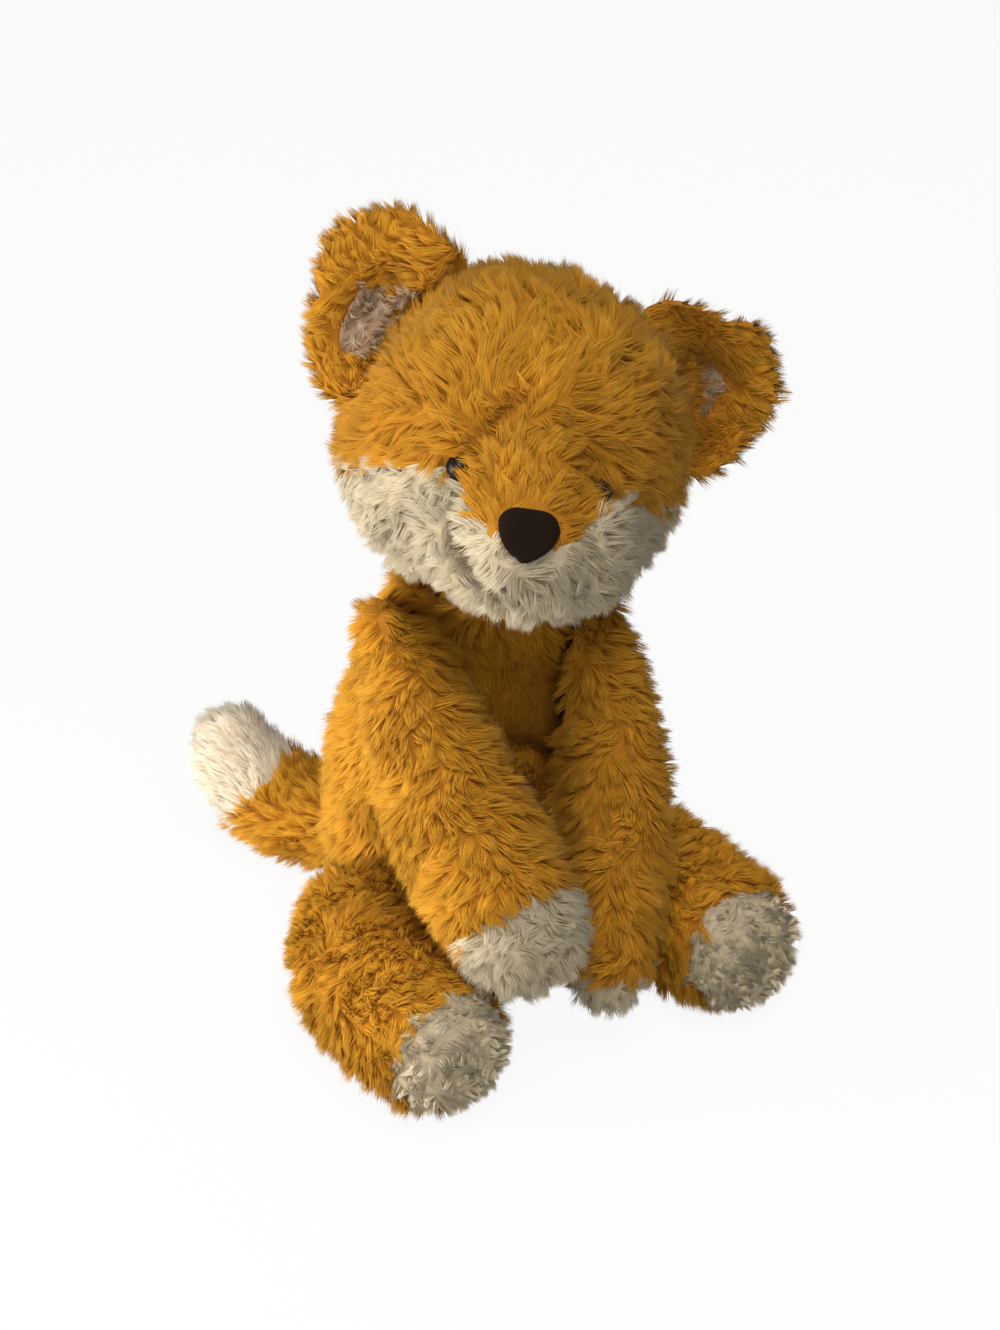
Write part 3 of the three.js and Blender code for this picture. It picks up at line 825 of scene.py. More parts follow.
class Tufts:
    """The tufts over a whole hide: each wisp takes its way, lean, length, tone and panel from the nearest."""

    def __init__(self, skin: Skin, coat: Coat, seed: int) -> None:
        """Draws the tufts.

        Args:
            skin: The hide.
            coat: How the pile stands.
            seed: The seed of the draws.
        """
        draw = np.random.default_rng(seed)
        places = Scatter(skin, skin.areas() * (HABIT.tufts / coat.spacing**2), draw)
        self.points = places.read(skin.points)
        self.normals = unit(places.read(skin.normals))
        self.panels = skin.panels[places.faces]
        count = len(self.points)
        turn = np.radians(coat.swirl) * Swell(SEED, coat.ruffle).at(self.points)
        turn += np.radians(coat.scatter) * draw.normal(size=count)
        comb = laid(places.read(skin.comb), self.normals)
        side = np.cross(self.normals, comb)
        self.ways = comb * np.cos(turn)[:, None] + side * np.sin(turn)[:, None]
        lean = coat.lean + HABIT.tuft_lean * draw.normal(size=count)
        self.lean = np.radians(lean).clip(*HABIT.lean_limits)
        self.length = coat.length * draw.uniform(*HABIT.tuft_length, count)
        wave = Swell(SEED + 1, HABIT.tone_wave * MM).at(self.points)
        self.tone = coat.tone + HABIT.tone_swell * wave + HABIT.tuft_tone * draw.normal(size=count)
        self.bow = coat.curl * draw.normal(size=count)
        self.tree = KDTree(count)
        for index, point in enumerate(self.points):
            self.tree.insert(point, index)
        self.tree.balance()

    def nearest(self, points: Array) -> Array:
        """The number of the nearest tuft to each point."""
        return np.array([self.tree.find(point)[1] for point in points], int)

    def tips(self) -> Array:
        """Where the wisps of each tuft meet."""
        return leaned(self.points, self.normals, self.ways, self.length, self.lean)


def grow_pile(skin: Skin, panel: int, coat: Coat, wisp: Wisp, seed: int, thin: float) -> PileMesh:
    """Grows the pile of one panel in tufts.

    Args:
        skin: The hide.
        panel: Which of its panels the pile is for.
        coat: How the pile stands.
        wisp: The template.
        seed: The seed of the wisps. Without its last two digits it seeds the tufts.
        thin: The share of wisps that is grown.

    Returns:
        The pile.
    """
    tufts = Tufts(skin, coat, seed // 100)
    draw = np.random.default_rng(seed)
    low, high = (edge * MM for edge in HABIT.open_room)
    open_share = smooth_step(skin.room[skin.triangles].mean(1), low, high)
    places = Scatter(skin, skin.areas() * (coat.density * thin) * open_share, draw)
    nearest = tufts.nearest(places.read(skin.points))
    kept = tufts.panels[nearest] == panel
    places.keep(kept)
    nearest = nearest[kept]
    roots = places.read(skin.points)
    normals = unit(places.read(skin.normals))
    rise = places.read(skin.rise)
    number = len(roots)
    ways = laid(tufts.ways[nearest], normals)

    # The line of each wisp: its root, middle and tip
    lean = tufts.lean[nearest] + np.radians(HABIT.wisp_lean) * draw.normal(size=number)
    strays = draw.random(number) < HABIT.strays
    lean = np.where(strays, lean * HABIT.stray_lean, lean)
    length = tufts.length[nearest] * draw.uniform(*HABIT.wisp_length, number)
    room_share = (places.read(skin.room) + HABIT.spare_room * MM) / (HABIT.full_room * MM)
    length *= np.clip(room_share, HABIT.shortest, 1) * rise
    gather = np.where(strays, HABIT.stray_gather, coat.gather)[:, None] * np.clip(rise, 0, 1)[:, None]
    meeting = tufts.tips()[nearest] + draw.normal(size=(number, 3)) * HABIT.tip_spread * MM
    tips = leaned(roots, normals, ways, length, lean) * (1 - gather) + meeting * gather
    middle = leaned(roots, normals, ways, 0.5 * length, lean * HABIT.early_lean)
    bow = (tufts.bow[nearest] + HABIT.bow * draw.normal(size=number)) * length
    middle += np.cross(normals, ways) * bow[:, None]
    roots = roots - normals * HABIT.root_depth * MM

    # The template's corners, bent along each line
    width = coat.width * draw.uniform(*HABIT.wisp_width, number) * np.where(strays, HABIT.stray_width, 1)
    spin = draw.uniform(0, 2 * math.pi, number)
    heights = wisp.corners[:, 2]
    points = np.empty((number, len(heights), 3))
    facing = np.empty_like(points)
    for corner, (x, y, t) in enumerate(wisp.corners):
        centre = roots * (1 - t) ** 2 + middle * (2 * t * (1 - t)) + tips * t**2
        ahead = unit((middle - roots) * (1 - t) + (tips - middle) * t)
        across = unit(np.cross(ahead, normals) + 1e-6)
        other = np.cross(ahead, across)
        u = x * np.cos(spin) - y * np.sin(spin)
        v = x * np.sin(spin) + y * np.cos(spin)
        outward = across * (u * width)[:, None] + other * (v * width * HABIT.thickness)[:, None]
        points[:, corner] = centre + outward
        facing[:, corner] = normals * (1 - coat.relief) + (unit(outward) if x or y else ways) * coat.relief
    triangles = wisp.faces[None] + (np.arange(number) * len(heights))[:, None, None]

    tone = tufts.tone[nearest] + HABIT.wisp_tone * draw.normal(size=number)
    tone = tone.clip(HABIT.map_margin, 1 - HABIT.map_margin)
    # Painted shade: where the creases paint it, each wisp's place along the map is pulled towards the root,
    # so the wisp takes on the dark root colour
    light = 1 - places.read(skin.painted_shade)
    maps = np.empty((number, len(heights), 2))
    maps[:, :, 0] = tone[:, None] + wisp.corners[:, 0] * HABIT.map_width
    maps[:, :, 1] = (heights * HABIT.map_length + HABIT.map_root)[None] * light[:, None]
    facing = unit(facing.reshape(-1, 3))
    return PileMesh(points.reshape(-1, 3), triangles.reshape(-1, 3), maps.reshape(-1, 2), facing)


def mesh_from(name: str, parts: list[PileMesh]) -> bpy.types.Mesh:
    """One mesh from parts, with the pile's map.

    Args:
        name: The mesh's name.
        parts: The parts.

    Returns:
        The mesh.
    """
    starts = np.cumsum([0] + [len(part.points) for part in parts[:-1]])
    points = np.concatenate([part.points for part in parts])
    triangles = np.concatenate([part.triangles + start for part, start in zip(parts, starts)])
    places = np.concatenate([part.places for part in parts])
    # The lowest pile is squeezed together, so that none goes through the floor
    low = points[:, 2] < FLOOR_SQUEEZE
    points[low, 2] = FLOOR_SQUEEZE * np.exp((points[low, 2] - FLOOR_SQUEEZE) / FLOOR_SQUEEZE)
    mesh = bpy.data.meshes.new(name)
    mesh.vertices.add(len(points))
    mesh.vertices.foreach_set("co", points.astype(np.float32).ravel())
    mesh.loops.add(triangles.size)
    mesh.loops.foreach_set("vertex_index", triangles.astype(np.int32).ravel())
    mesh.polygons.add(len(triangles))
    mesh.polygons.foreach_set("loop_start", np.arange(0, triangles.size, 3, dtype=np.int32))
    mesh.polygons.foreach_set("use_smooth", np.ones(len(triangles), bool))
    mesh.update(calc_edges=True)
    layer = mesh.uv_layers.new(name=PILE_MAP)
    layer.uv.foreach_set("vector", places[triangles.ravel()].astype(np.float32).ravel())
    mesh.normals_split_custom_set_from_vertices(np.concatenate([part.normals for part in parts]))
    return mesh


# Sub-assemblies


@dataclass
class StuffedForm:
    """A sewn form: some panels of plush over their filling, all on the body that has the form's name.

    Its sizes are in metres, and the rest are counts and shares.
    """

    name: str
    panels: dict[str, Panel]
    inner: tuple[str, ...] = ()
    voxel: float = 3 * MM
    inset: float = 3.6 * MM
    creases: tuple[Crease, ...] = ()
    pulls: tuple[Pull, ...] = ()
    root_reach: float = 0.0
    swell: float = 1.2 * MM
    lumps: float = 0.6 * MM
    evening: int = 6
    fill: float = 0.7
    crease_trim: float = 0.5
    sewn_inset: float = 0.4
    puff_limit: float = 1.6
    lowest: float = 0.8 * MM
    under_height: float = 4 * MM
    under_facing: float = -0.6
    under_room: float = 2.6 * MM
    hide: bpy.types.Object | None = field(default=None, repr=False)
    outer: Array | None = field(default=None, repr=False)

    def nodes(self) -> list[str]:
        """The CAD nodes that the form replaces."""
        return [*self.panels, *self.inner]

    def core(self) -> list[str]:
        """The CAD nodes that the hide is cut round."""
        return self.nodes()

    def comb(self, points: Array) -> Array:
        """Which way the pile is combed at each point of the hide."""
        return np.tile((0.0, 0.0, -1.0), (len(points), 1))

    def rise(self, points: Array) -> Array:
        """How long the pile is there.

        Args:
            points: The hide's vertices.

        Returns:
            A share of its coat's length for each.
        """
        share = np.ones(len(points))
        for crease in self.creases:
            if crease.depth > 0:
                share *= 1 - self.crease_trim * crease.share(self.outer)
        return share

    def painted_shade(self) -> Array:
        """How much shade is painted into the pile at each vertex of the hide, as the dark of its roots."""
        felt = [crease.share(self.outer) * crease.painted_shade for crease in self.creases]
        return np.max([np.zeros(len(self.outer)), *felt], axis=0)

    def sculpt(self, points: Array, normals: Array) -> Array:
        """Presses dents and creases into the hide.

        Args:
            points: The hide's vertices.
            normals: Their normals.

        Returns:
            The moved vertices.
        """
        depth = Swell(SEED + 5, 24 * MM).at(points) * self.lumps
        for crease in self.creases:
            depth += crease.share(self.outer) * (crease.depth * MM)
        return points - normals * depth[:, None]

    def drawn_in(self, points: Array, normals: Array) -> Array:
        """The step inwards of each vertex of the hide, which leaves room for the pile under the panels."""
        return -normals * (self.inset + self.swell)

    def cut_hide(self, others: list[str]) -> None:
        """Makes the hide: one closed skin round the form's own nodes, drawn in by the depth of the pile.

        Args:
            others: The CAD nodes of the other forms, which the hide keeps near where it is sewn to them.
        """
        self.hide = new_object(f"{self.name}_hide", mesh_of(self.name, joined_nodes(self.core())))
        remesh(self.hide, self.voxel)
        self.drop_crumbs()
        mesh = self.hide.data
        points = coordinates(mesh)
        room, towards = distances(points, tree_of(others), ROOM_REACH)
        drawn = self.sewn_inset + (1 - self.sewn_inset) * smooth_step(room, 0.5 * MM, 4 * MM)
        points += self.drawn_in(points, normals_of(mesh)) * drawn[:, None]
        points += towards * (1 - smooth_step(room, 1 * MM, 6 * MM))[:, None] * self.root_reach
        for pull in self.pulls:
            points = pull.applied(points)
        move_vertices(mesh, points)
        self.smooth(self.evening)
        group = self.hide.vertex_groups.new(name="sewn")
        for index, share in enumerate(1 - smooth_step(room, 1.5 * MM, 7 * MM)):
            if share > 0.05:
                group.add([index], float(share), "REPLACE")

    def drop_crumbs(self) -> None:
        """Keeps only the largest closed body of the hide."""
        shape = bmesh.new()
        shape.from_mesh(self.hide.data)
        left = set(shape.verts)
        largest: set = set()
        while left:
            island = {left.pop()}
            edge = list(island)
            while edge:
                beside = {e.other_vert(v) for v in edge for e in v.link_edges} - island
                island |= beside
                edge = list(beside)
            left -= island
            largest = max(largest, island, key=len)
        bmesh.ops.delete(shape, geom=[v for v in shape.verts if v not in largest], context="VERTS")
        shape.to_mesh(self.hide.data)
        shape.free()

    def smooth(self, rounds: int) -> None:
        """Evens the hide.

        Args:
            rounds: How often.
        """
        shape = bmesh.new()
        shape.from_mesh(self.hide.data)
        axes = {f"use_axis_{axis}": True for axis in "xyz"}
        for _ in range(rounds):
            bmesh.ops.smooth_vert(shape, verts=shape.verts, factor=0.5, **axes)
        shape.to_mesh(self.hide.data)
        shape.free()

    def puff(self, start: Array) -> None:
        """Keeps what the cloth's pressure did to the hide, up to the form's own swell.

        Args:
            start: Where the hide's vertices were before.
        """
        apply_modifiers(self.hide)
        moved = coordinates(self.hide.data) - start
        reach = np.linalg.norm(moved, axis=1, keepdims=True)
        moved *= np.minimum(1, self.swell * self.puff_limit / np.maximum(reach, 1e-9))
        move_vertices(self.hide.data, start + moved)
        log.info("%s: puffed by %.1f mm at most", self.name, float(reach.max()) / MM)

    def finish_hide(self) -> None:
        """Gives the puffed hide its dents.

        The creases are laid on the panels, so they are read where each point of the hide is under its panel.
        """
        points, normals = coordinates(self.hide.data), normals_of(self.hide.data)
        self.outer = points + normals * (self.inset + self.swell)
        points = self.sculpt(points, normals)
        points[:, 2] = np.maximum(points[:, 2], self.lowest)
        move_vertices(self.hide.data, points)

    def skin(self, others: list[str]) -> Skin:
        """The hide as arrays, with the panel of each face.

        Args:
            others: The CAD nodes of the other forms.

        Returns:
            The arrays.
        """
        mesh = self.hide.data
        mesh.calc_loop_triangles()
        triangles = np.empty(len(mesh.loop_triangles) * 3, np.int32)
        mesh.loop_triangles.foreach_get("vertices", triangles)
        triangles = triangles.reshape(-1, 3)
        points, normals = coordinates(mesh), normals_of(mesh)
        room, _ = distances(points, tree_of(others), ROOM_REACH)
        # The pile of undersides near the floor is short
        under = (points[:, 2] < self.under_height) & (normals[:, 2] < self.under_facing)
        room = np.where(under, np.minimum(room, self.under_room), room)
        centres = points[triangles].mean(1)
        panels = np.zeros(len(triangles), int)
        nearest = np.full(len(triangles), 1.0)
        for index, (node, panel) in enumerate(self.panels.items()):
            far, _ = distances(centres - np.array(panel.shift) * MM, tree_of([node]), PANEL_REACH)
            far -= panel.reach
            closer = far < nearest
            panels[closer] = index
            nearest[closer] = far[closer]
        combed, risen = self.comb(points), self.rise(points)
        # The last array is the shade that the creases paint into the pile
        return Skin(points, normals, triangles, panels, room, combed, risen, self.painted_shade())

    def dress(self, others: list[str], wisp: Wisp, seed: int, thin: float, materials: dict) -> None:
        """Grows the pile of each panel and makes its piece.

        Args:
            others: The CAD nodes of the other forms.
            wisp: The template.
            seed: The seed of the draws.
            thin: The share of wisps that is grown.
            materials: The material of each fabric.
        """
        skin = self.skin(others)
        for index, (node, panel) in enumerate(self.panels.items()):
            pile = grow_pile(skin, index, panel.coat, wisp, seed * 100 + index, thin)
            piece = new_object(f"{node}_plush", mesh_from(f"{node}_plush", [skin.patch(index), pile]))
            piece.data.materials.append(materials[panel.fabric])
            self.place(piece, panel.fabric.value.name, node, *(self.inner if index == 0 else ()))
        bpy.data.objects.remove(self.hide)
        self.hide = None

    def fasten(self, piece: bpy.types.Object) -> None:
        """Makes a piece move with the form's body."""
        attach(piece, self.name)

    def place(self, piece: bpy.types.Object, slot: str, *nodes: str) -> None:
        """Fastens a piece, and hides the CAD nodes that it stands for.

        Args:
            piece: The piece.
            slot: The slot of what it is made of. It is not used.
            nodes: The CAD nodes that it stands for.
        """
        self.fasten(piece)
        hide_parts(*nodes)
        log.info("%s: %d faces", piece.name, len(piece.data.polygons))


@dataclass
class Limb(StuffedForm):
    """A form that hangs or lies along a line from its root to its end panel."""

    slant: Triple = (0.0, 0.0, 0.0)
    bend: tuple[float, float] = (4 * MM, 40 * MM)

    def ends(self) -> tuple[str, ...]:
        """The CAD nodes at the root and at the end."""
        return tuple(self.panels)

    def along(self) -> Array:
        """The way from the root to the end, with a length of 1."""
        root, end = (middle_of(node) for node in self.ends())
        return (end - root) / np.linalg.norm(end - root)

    def comb(self, points: Array) -> Array:
        """Combs the pile from the root to the end, a little aslant."""
        way = self.along() + np.array(self.slant)
        return np.tile(way / np.linalg.norm(way), (len(points), 1))

    def fasten(self, piece: bpy.types.Object) -> None:
        """Fastens a piece that lies past the bend to the limb's body, and leaves a piece at the root on no
        body.

        Args:
            piece: The piece. It rides on the limb's own body if all of it lies past the bend.
        """
        joint = next(joint for joint in frame["joints"] if joint["child"] == self.name)
        pivot = np.array(joint["pos_m"])
        start, end = (pivot + self.along() * reach for reach in self.bend)
        if ((coordinates(piece.data) - end) @ self.along()).min() >= 0:
            super().fasten(piece)
            return
        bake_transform(piece)


class Torso(StuffedForm):
    """The trunk, with its seat panel and the bead pouch inside."""


@dataclass
class Head(StuffedForm):
    """The head, with cheeks, muzzle and bridge, and its eyes and nose."""

    eye_radius: float = 4.6 * MM
    eye_sink: float = 3.6 * MM
    eye_stem: tuple[float, float] = (1.7 * MM, 6 * MM)
    eye_rim: tuple[float, float] = (0.9, 0.6 * MM)
    dome_steps: int = 10
    eye_sides: int = 32
    nose_sink: float = 1.8 * MM
    nose_share: float = 0.94
    socket: float = 8 * MM
    socket_depth: float = 1.2 * MM

    def skin(self, others: list[str]) -> Skin:
        """The hide as arrays; its pile laps over the roots of the ears, so they don't shorten it."""
        return super().skin([node for node in others if "ear" not in node])

    def features(self) -> tuple[Array, list[Array]]:
        """Where the middle of the nose and the tops of the eyes are."""
        return middle_of("nose"), [np.array(self.eye_axis(side)[0]) for side in SIDES]

    def eye_axis(self, side: str) -> tuple[Vector, Vector]:
        """An eye's dome top and the way it looks.

        Args:
            side: right or left.

        Returns:
            The top and the axis.
        """
        points = coordinates(frame["nodes"][f"eye_{side}"].data)
        far = np.linalg.norm(points - middle_of("head_filling"), axis=1)
        axis = points[far > far.max() - 0.4 * MM].mean(0) - points[far < far.min() + 0.4 * MM].mean(0)
        axis /= np.linalg.norm(axis)
        top = points[np.argmax(points @ axis)] - axis * self.eye_sink
        return Vector(top), Vector(axis)

    def drawn_in(self, points: Array, normals: Array) -> Array:
        """Draws the hide in less round the nose and the eyes, which then sit in its pile.

        Args:
            points: The hide's vertices.
            normals: Their normals.

        Returns:
            The step inwards of each.
        """
        nose, eyes = self.features()
        share = 0.45 + 0.55 * away_from(nose, points, 9 * MM, 20 * MM)
        for eye in eyes:
            share = np.minimum(share, 0.45 + 0.55 * away_from(eye, points, 7 * MM, 14 * MM))
        return super().drawn_in(points, normals) * share[:, None]

    def comb(self, points: Array) -> Array:
        """Combs the pile away from the nose, over the crown and out over the cheeks.

        Args:
            points: The hide's vertices.

        Returns:
            A direction for each.
        """
        nose, _ = self.features()
        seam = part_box("cheek_right")[1].z
        below = 1 - smooth_step(points[:, 2], seam + 4 * MM, seam + 26 * MM)
        hanging = away_from(nose, points, 26 * MM, 48 * MM) * below
        # The pile at the nose is combed towards it
        outward = 1 - 1.7 * (1 - away_from(nose, points, 10 * MM, 16 * MM))
        return unit(points - nose) * outward[:, None] + hanging[:, None] * np.array((0.0, 0.0, -1.3))

    def rise(self, points: Array) -> Array:
        """Shortens the pile round the nose, and most of all over the eyes.

        Args:
            points: The hide's vertices.

        Returns:
            A share of its coat's length for each.
        """
        nose, eyes = self.features()
        share = 0.3 + 0.4 * away_from(nose, points, 8 * MM, 13 * MM)
        share += 0.3 * away_from(nose, points, 12 * MM, 22 * MM)
        for eye in eyes:
            share *= 0.2 + 0.8 * away_from(eye, points, 3 * MM, 7.5 * MM)
        return share * super().rise(points)

    def sculpt(self, points: Array, normals: Array) -> Array:
        """Presses the creases, and a socket round each eye.

        Args:
            points: The hide's vertices.
            normals: Their normals.

        Returns:
            The moved vertices.
        """
        points = super().sculpt(points, normals)
        for eye in self.features()[1]:
            near = 1 - away_from(eye, points, 3 * MM, self.socket)
            points = points - normals * (near * self.socket_depth)[:, None]
        return points

    def add_eyes(self) -> None:
        """Makes each eye: a domed button on its stem, turned about its axis."""
        finish = GlossFinish("eye_plastic", (0.006, 0.005, 0.004)).material()
        (stem, length), (rim, back) = self.eye_stem, self.eye_rim
        outline = [(0.0, -length), (stem, -length), (stem, -back), (self.eye_radius * rim, -back)]
        for turn in (math.pi / 2 * step / self.dome_steps for step in range(self.dome_steps)):
            outline.append((self.eye_radius * math.cos(turn), self.eye_radius * math.sin(turn)))
        outline.append((0.0, self.eye_radius))
        for side in SIDES:
            shape = bmesh.new()
            verts = [shape.verts.new((x, 0, z)) for x, z in outline]
            edges = [shape.edges.new(pair) for pair in zip(verts, verts[1:])]
            bmesh.ops.spin(
                shape, geom=verts + edges, cent=(0, 0, 0), axis=(0, 0, 1), angle=2 * math.pi,
                steps=self.eye_sides, use_merge=True,
            )
            bmesh.ops.remove_doubles(shape, verts=shape.verts, dist=0.01 * MM)
            bmesh.ops.recalc_face_normals(shape, faces=shape.faces)
            top, axis = self.eye_axis(side)
            tilt = axis.to_track_quat("Z", "Y").to_matrix().to_4x4()
            seat = Matrix.Translation(top - axis * self.eye_radius) @ tilt
            bmesh.ops.transform(shape, matrix=seat, verts=shape.verts)
            mesh = mesh_of(f"eye_button_{side}", shape)
            mesh.shade_smooth()
            mesh.materials.append(finish)
            self.place(new_object(f"eye_button_{side}", mesh), "eye_plastic", f"eye_{side}")

    def add_nose(self) -> None:
        """Makes the nose: a stuffed pad of smooth cloth."""
        shape = joined_nodes(["nose"])
        facing = np.array(sum(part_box("nose"), Vector()) - sum(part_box("head_filling"), Vector()))
        step = Vector(facing / np.linalg.norm(facing)) * -self.nose_sink
        bmesh.ops.translate(shape, verts=shape.verts, vec=step)
        middle = Vector(np.mean([vert.co for vert in shape.verts], axis=0))
        size = (self.nose_share,) * 3
        bmesh.ops.scale(shape, verts=shape.verts, vec=size, space=Matrix.Translation(-middle))
        pad = new_object("nose_pad", mesh_of("nose_pad", shape))
        remesh(pad, 0.5 * MM, 6)
        pad.data.shade_smooth()
        finish = ClothFinish("nose_cloth", (0.007, 0.0035, 0.002), (0.016, 0.009, 0.006))
        pad.data.materials.append(finish.material())
        self.place(pad, "nose_cloth", "nose")


@dataclass
class Ear(Limb):
    """A stuffed flap, with a pale pad sewn into its hollow."""

    voxel: float = 1.6 * MM
    inset: float = 2.5 * MM
    root_reach: float = 9 * MM
    swell: float = 0.4 * MM
    lumps: float = 0.3 * MM
    evening: int = 3
    bend: tuple[float, float] = (-2 * MM, 16 * MM)
    hollow: float = 3.0 * MM
    face_inset: float = 0.6 * MM

    def core(self) -> list[str]:
        """The flap alone, without the pad that lies on it."""
        return [self.name]

    def ends(self) -> tuple[str, ...]:
        """The ear stands away from the crown."""
        return "head_crown", self.name

    def skin(self, others: list[str]) -> Skin:
        """The hide as arrays; its pile is full-length down to the root, which stands in the head's pile."""
        return super().skin(["torso_skin"])

    def facing(self, points: Array) -> Array:
        """The way across the flap, towards its front.

        Args:
            points: The hide's vertices.

        Returns:
            A vector with a length of 1.
        """
        centred = points - points.mean(0)
        across = np.linalg.eigh(centred.T @ centred)[1][:, 0]
        return across if across[1] < 0 else -across

    def drawn_in(self, points: Array, normals: Array) -> Array:
        """Draws the rim in, and the two faces hardly at all, because the flap is thin.

        Args:
            points: The hide's vertices.
            normals: Their normals.

        Returns:
            The step inwards of each.
        """
        facing = self.facing(points)
        through = (normals @ facing)[:, None] * facing
        return -through * self.face_inset - (normals - through) * self.inset

    def sculpt(self, points: Array, normals: Array) -> Array:
        """Presses the hollow that the pad lies in.

        Args:
            points: The hide's vertices.
            normals: Their normals.

        Returns:
            The moved vertices.
        """
        points = super().sculpt(points, normals)
        far, _ = distances(points, tree_of([f"inner_{self.name}"]), ROOM_REACH)
        front = (normals @ self.facing(points)).clip(0, 1)
        return points - normals * (front * (1 - smooth_step(far, 1 * MM, 8 * MM)) * self.hollow)[:, None]


class Fox:
    """The whole toy, in the order that its forms are cut, puffed and dressed."""

    # Places and steps in mm, in the toy's own frame
    EAR_PULLS = {
        "right": (Pull(((-16, -6, 281), (-24, -8, 277)), 12, (8, -4, -5)),),
        "left": (
            Pull(((56, -46, 259), (63, -46, 240), (63, -46, 214)), 14, (2.3, 4.8, -2.7)),
            Pull(((81.5, -53.5, 251.8),), 18, (1, 2, 5)),
            Pull(((48, -43.2, 260.7), (60.6, -48.3, 261.4)), 10, (-3.4, 4.4, 5.3)),
        ),
    }
    # The left ear's root crease is a shallow dent with painted shade, for the shadow where the ear meets the
    # head
    LEFT_EAR_ROOT = ((56, -46, 259), (63, -46, 240), (63.6, -46, 225), (62.7, -46, 214))
    EAR_CREASES = {"right": (), "left": (Crease(LEFT_EAR_ROOT, 16, 0.5, 0.8),)}
    BROW_RIGHT = ((-38.5, -73.5, 239), (-34, -75, 244.5), (-29, -76, 249.5), (-20, -77, 256))
    CHEEK_GROOVE = (
        (-47, -72.6, 226), (-48.8, -72.6, 222), (-50.3, -78.7, 214), (-48.2, -83.2, 205.2),
        (-44.1, -86.4, 198.7),
    )
    # The first three creases are dents that also paint shade into the pile. The last three are no dents, only
    # patches of painted shade: on the right brow, the right cheek and the left of the muzzle
    HEAD_CREASES = (
        Crease(BROW_RIGHT, 8, 4, 0.7),
        Crease(((7.1, -90.7, 223.1), (1, -89.6, 229.7), (-3.6, -88, 238.8)), 8, 3, 0.6),
        Crease(CHEEK_GROOVE, 9, 7, 1),
        Crease(((-22, -86, 232), (-17, -90, 229)), 14, -3),
        Crease(((-36, -91, 216), (-33, -92, 206)), 13, -4),
        Crease(((-50.6, -16, 250), (-43.1, -14, 259), (-36, -20, 270)), 20, 4),
        Crease(((-50.5, -52.5, 247.8), (-58.7, -25.9, 238.4)), 26, 0, 0.4),
        Crease(((-55, -52.9, 210.5),), 28, 0, 0.45),
        Crease(((2.1, -102.1, 206.5), (30.1, -78.8, 199.1)), 28, 0, 0.4),
    )
    BELLY_FOLD = ((-18, -39.5, 108), (-4, -43, 106), (8, -44, 104), (22, -42, 102))
    # All three paint shade into the pile of the chest and belly between the arms; the last is hardly a dent,
    # mostly a patch of painted shade
    TORSO_CREASES = (
        Crease(BELLY_FOLD, 12, 5, 0.97),
        Crease(((0, -45, 95), (3, -46, 70)), 42, 8, 1),
        Crease(((0, -40, 136), (2, -42, 116)), 40, 0.5, 0.55),
    )
    ARM = {
        "slant": (0, 0.6, -0.5),
        "bend": (-6 * MM, 32 * MM),
        # A patch of painted shade on the right paw; it is no dent
        "creases": (Crease(((-39.3, -121.9, 71.6),), 30, 0, 0.35),),
    }

    def __init__(self) -> None:
        """Lists the forms."""
        cheeks = {f"cheek_{side}": WHITE for side in SIDES}
        face = {"head_crown": CROWN, **cheeks, "muzzle": WHITE, "muzzle_bridge": SHORT}
        fillings = ("head_filling", "muzzle_filling")
        self.head = Head("head", face, fillings, fill=0.8, creases=self.HEAD_CREASES)
        trunk = {"torso_skin": TRUNK, "seat_panel": TRUNK}
        self.forms: list[StuffedForm] = [
            Torso("torso", trunk, ("torso_filling", "bead_pouch"), creases=self.TORSO_CREASES),
            self.head,
            StuffedForm("neck", {"neck_filling": AMBER}, inset=2 * MM),
        ]
        for side in SIDES:
            self.forms += [self.ear(side), self.arm(side), self.leg(side)]
        tail = {"tail_base": AMBER, "tail_tip": CREAM}
        self.forms.append(Limb("tail", tail, ("tail_filling",), bend=(-2 * MM, 26 * MM)))

    def ear(self, side: str) -> Ear:
        """An ear: its flap and its pad."""
        panels = {f"ear_{side}": SHORT, f"inner_ear_{side}": PADS[side]}
        return Ear(f"ear_{side}", panels, pulls=self.EAR_PULLS[side], creases=self.EAR_CREASES[side])

    def arm(self, side: str) -> Limb:
        """An arm: its skin, its paw and its filling."""
        panels = {f"arm_skin_{side}": AMBER, f"paw_{side}": PAW}
        return Limb(f"arm_{side}", panels, (f"arm_filling_{side}",), **self.ARM)

    def leg(self, side: str) -> Limb:
        """A leg: its skin, its sole and its filling."""
        panels = {f"leg_skin_{side}": LEG if side == "right" else AMBER, f"foot_sole_{side}": SOLE}
        return Limb(f"leg_{side}", panels, (f"leg_filling_{side}",))

    def build(self, wisp: Wisp, thin: float) -> None:
        """Builds and dresses every form.

        Args:
            wisp: The pile's template.
            thin: The share of wisps that is grown.
        """
        materials = {fabric: fabric.value.material() for fabric in Fabric}
        everything = [node for form in self.forms for node in form.nodes()]
        others = [[node for node in everything if node not in form.nodes()] for form in self.forms]
        for form, beside in zip(self.forms, others):
            form.cut_hide(beside)
            log.info("%s: cut", form.name)
        self.puff()
        for number, (form, beside) in enumerate(zip(self.forms, others)):
            form.finish_hide()
            form.dress(beside, wisp, SEED + number, thin, materials)
        self.head.add_eyes()
        self.head.add_nose()
        self.dress_washers()

